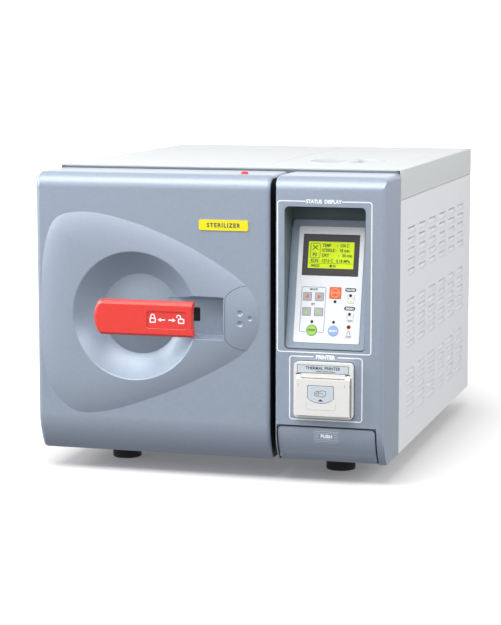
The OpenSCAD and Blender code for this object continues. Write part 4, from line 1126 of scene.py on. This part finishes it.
def louvred_panel(name, node, side):
    """Side panel with pressed-in louvres; side is +1 on the right and -1 on the left."""
    low, high = box_mm(node)
    face = high[0] if side > 0 else low[0]
    starts = [CABINET + 50 + LOUVRE["step"] * column for column in range(LOUVRE_COLUMNS)]
    tops = [BASE + top - LOUVRE["pitch"] * row for top in LOUVRE_TOPS
            for row in range(LOUVRE_ROWS)]
    holes = [np.array([(y, top), (y + LOUVRE["wide"], top), (y + LOUVRE["wide"], top - LOUVRE["high"]),
                       (y, top - LOUVRE["high"])]) * (side, 1) for y in starts for top in tops]
    corners = np.array([(low[1], low[2]), (high[1], low[2]), (high[1], high[2]), (low[1], high[2])])
    flat, faces = triangulated([], [corners * (side, 1)] + holes)
    middle = flat[faces].mean(1)
    keep = np.ones(len(faces), bool)
    for hole in holes:
        keep &= ~inside(middle, hole)

    def sheet(u, v):
        return np.stack([np.full(len(u), face), u * side, v], -1)

    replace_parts(shell(name, sheet, flat, faces[keep], 1.4, WHITE, "cabinet", "cabinet_white"), node)
    verts, dents = [], []
    deep = face - side * LOUVRE["deep"]
    for y in starts:
        for top in tops:
            k = len(verts)
            y1, bottom = y + LOUVRE["wide"], top - LOUVRE["high"]
            verts += [(face, y, bottom), (face, y1, bottom), (deep, y1 - 1.2, top - 0.3),
                      (deep, y + 1.2, top - 0.3), (face, y, top), (face, y1, top)]
            dents += [(k, k + 1, k + 2, k + 3), (k, k + 3, k + 4), (k + 1, k + 5, k + 2)]
    if side < 0:
        dents = [d[::-1] for d in dents]
    pressed = piece(name + "_dents", verts, dents, WHITE, "cabinet", "cabinet_white")
    metal = pressed.modifiers.new("thickness", "SOLIDIFY")
    metal.thickness = 1.0 * MM
    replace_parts(pressed, node)


louvred_panel("right_louvres", "right_side_panel", 1)
louvred_panel("left_louvres", "left_side_panel", -1)


def top_cover():
    """Top cover with crisp folds, open where the tank lid sits."""
    low, high = COVER_LOW, COVER_HIGH
    lid_low, lid_high = box_mm("tank_lid")
    x0, x1, y0, y1 = lid_low[0] - 0.8, lid_high[0] + 0.8, lid_low[1] - 0.8, lid_high[1] + 0.8
    sheet, fold = 1.5, 1.6
    for name, side, inner in (("left", low[0], x0), ("right", high[0], x1)):
        way = 1 if side < 0 else -1
        corner = [(side + way * (fold - fold * math.cos(a)), high[2] - fold + fold * math.sin(a))
                  for a in np.linspace(0, math.pi / 2, 6)]
        outline = ([(side, low[2])] + corner + [(inner, high[2]), (inner, high[2] - sheet),
                   (side + way * sheet, high[2] - sheet), (side + way * sheet, low[2])])
        if way < 0:
            outline = outline[::-1]
        verts, faces = prism([outline[::-1]], low[1], high[1])
        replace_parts(piece(f"cover_{name}", verts, faces, COVER, "cabinet", "cabinet_white"),
                    "top_cover")
    for name, a, b in (("front", low[1], y0), ("back", y1, high[1])):
        verts, faces = prism([rectangle(x0, high[2] - sheet, x1, high[2])], a, b)
        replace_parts(piece(f"cover_{name}", verts, faces, COVER, "cabinet", "cabinet_white"),
                    "top_cover")


def cover_gap_shadow():
    """Dark line under the front edge of the top cover: painted shadow in the gap there."""
    outline = rectangle(-SIDE + 2, ROOF + 0.1, SIDE - 2, ROOF + 1.0)
    verts, faces = prism([outline], CABINET - 0.6, CABINET - GAP)
    # Painted shadow: a dark line in the gap under the cover's front edge.
    piece("cover_front_gap_shadow", verts, faces, material("seal_grey", (98, 112, 118), 0.6), "cabinet")


top_cover()
cover_gap_shadow()


# ---------- stage, light and camera ----------

def stage_plane(name, corners, mat, seen, reflected):
    mesh = bpy.data.meshes.new(name)
    mesh.from_pydata(corners, [], [(0, 1, 2, 3)])
    mesh.materials.append(mat)
    thing = linked(name, mesh)
    thing.visible_camera = seen
    thing.visible_diffuse = False
    thing.visible_glossy = reflected


def floor_white():
    """White floor, darker close to the machine as painted shadow and brighter far off, where it meets
    the backdrop.
    """
    mat = material("floor_white", (244, 243, 243), 0.7, spread=0.002, scale=2, glow=0.16, shine=0.1)
    nodes, links = mat.node_tree.nodes, mat.node_tree.links
    shader = nodes["Principled BSDF"]
    where = nodes.new("ShaderNodeTexCoord").outputs["Object"]

    def vector(operation, source, value=None):
        node = nodes.new("ShaderNodeVectorMath")
        node.operation = operation
        links.new(source, node.inputs[0])
        if value:
            node.inputs[1].default_value = value
        return node.outputs["Value" if operation == "LENGTH" else "Vector"]

    def mapped(source, *limits):
        node = nodes.new("ShaderNodeMapRange")
        links.new(source, node.inputs["Value"])
        return set_inputs(node, dict(zip(("From Min", "From Max", "To Min", "To Max"), limits)))

    links.new(mapped(vector("LENGTH", where), 0.4, 1.2, 0.15, 0.85).outputs["Result"],
              shader.inputs["Emission Strength"])
    # Painted shadow: the floor's colour falls to 0.8 close to the machine's footprint.
    beside = vector("SUBTRACT", vector("ABSOLUTE", where), (0.22, 0.2, 1))
    beside = vector("MAXIMUM", beside, (0.0001, 0.0001, 0.0001))
    near = mapped(vector("LENGTH", vector("MULTIPLY", beside, (7.0, 3.6, 0))), 0, 1, 0.8, 1)
    near.interpolation_type = "SMOOTHSTEP"
    painted_shadow_colour = nodes.new("ShaderNodeVectorMath")
    painted_shadow_colour.operation = "SCALE"
    links.new(nodes["Color Ramp"].outputs["Color"], painted_shadow_colour.inputs[0])
    links.new(near.outputs["Result"], painted_shadow_colour.inputs["Scale"])
    links.new(painted_shadow_colour.outputs["Vector"], shader.inputs["Base Color"])
    links.new(painted_shadow_colour.outputs["Vector"], shader.inputs["Emission Color"])
    return mat


def stage():
    far = 30.0
    stage_plane("floor", [(-far, -far, 0), (far, -far, 0), (far, far, 0), (-far, far, 0)],
                floor_white(), True, False)
    bright = material("backdrop_white", (255, 255, 255), 0.9, spread=0.001, scale=2, glow=1.1)
    stage_plane("backdrop", [(-far, 5, 0), (far, 5, 0), (far, 5, far), (-far, 5, far)], bright,
                True, False)
    stage_plane("reflector", [(-far, 4.9, 0.5), (1, 4.9, 0.5), (1, 4.9, 4), (-far, 4.9, 4)],
                bright, False, True)


def soft_light(name, size, power, place, target, size_y=None):
    lamp = bpy.data.lights.new(name, "AREA")
    lamp.shape = "RECTANGLE"
    lamp.size = size
    lamp.size_y = size_y or size
    lamp.energy = power
    thing = linked(name, lamp)
    thing.location = place
    thing.rotation_euler = (Vector(target) - Vector(place)).to_track_quat("-Z", "Y").to_euler()


def world():
    place = bpy.data.worlds.new("studio")
    bpy.context.scene.world = place
    place.use_nodes = True
    nodes, links = place.node_tree.nodes, place.node_tree.links
    sky = nodes["Background"]
    where = nodes.new("ShaderNodeTexCoord")
    split = nodes.new("ShaderNodeSeparateXYZ")
    height = nodes.new("ShaderNodeMapRange")
    height.inputs["From Min"].default_value = -1.0
    ramp = nodes.new("ShaderNodeValToRGB")
    links.new(where.outputs["Generated"], split.inputs["Vector"])
    links.new(split.outputs["Z"], height.inputs["Value"])
    links.new(height.outputs["Result"], ramp.inputs["Fac"])
    steps = ramp.color_ramp.elements
    steps[0].position, steps[0].color = 0.0, (0.30, 0.30, 0.31, 1)
    steps[1].position, steps[1].color = 1.0, (0.45, 0.455, 0.46, 1)
    low, mid = steps.new(0.47), steps.new(0.56)
    low.color, mid.color = (0.36, 0.36, 0.37, 1), (0.72, 0.73, 0.74, 1)
    links.new(ramp.outputs["Color"], sky.inputs["Color"])
    sky.inputs["Strength"].default_value = 1.0


def camera():
    yaw, pitch = math.radians(15.81), math.radians(7.80)
    eye = bpy.data.cameras.new("camera")
    eye.lens = 114.7
    eye.sensor_width = 36
    thing = linked("camera", eye)
    thing.location = (0.7657, -2.8165, 0.5828)
    ahead = Vector((-math.sin(yaw) * math.cos(pitch), math.cos(yaw) * math.cos(pitch),
                    -math.sin(pitch)))
    thing.rotation_euler = ahead.to_track_quat("-Z", "Y").to_euler()
    bpy.context.scene.camera = thing


stage()
world()
camera()
soft_light("key", 2.4, 45, (-0.3, -1.45, 2.05), (-0.05, -0.3, 0.35), 1.2)
soft_light("left", 1.2, 48, (-2.5, -1.1, 1.2), (-0.2, -0.3, 0.2), 1.6)
soft_light("right", 1.6, 37, (2.5, -0.35, 1.5), (0.2, 0, 0.2), 1.6)
bpy.context.scene.view_settings.view_transform = "Standard"
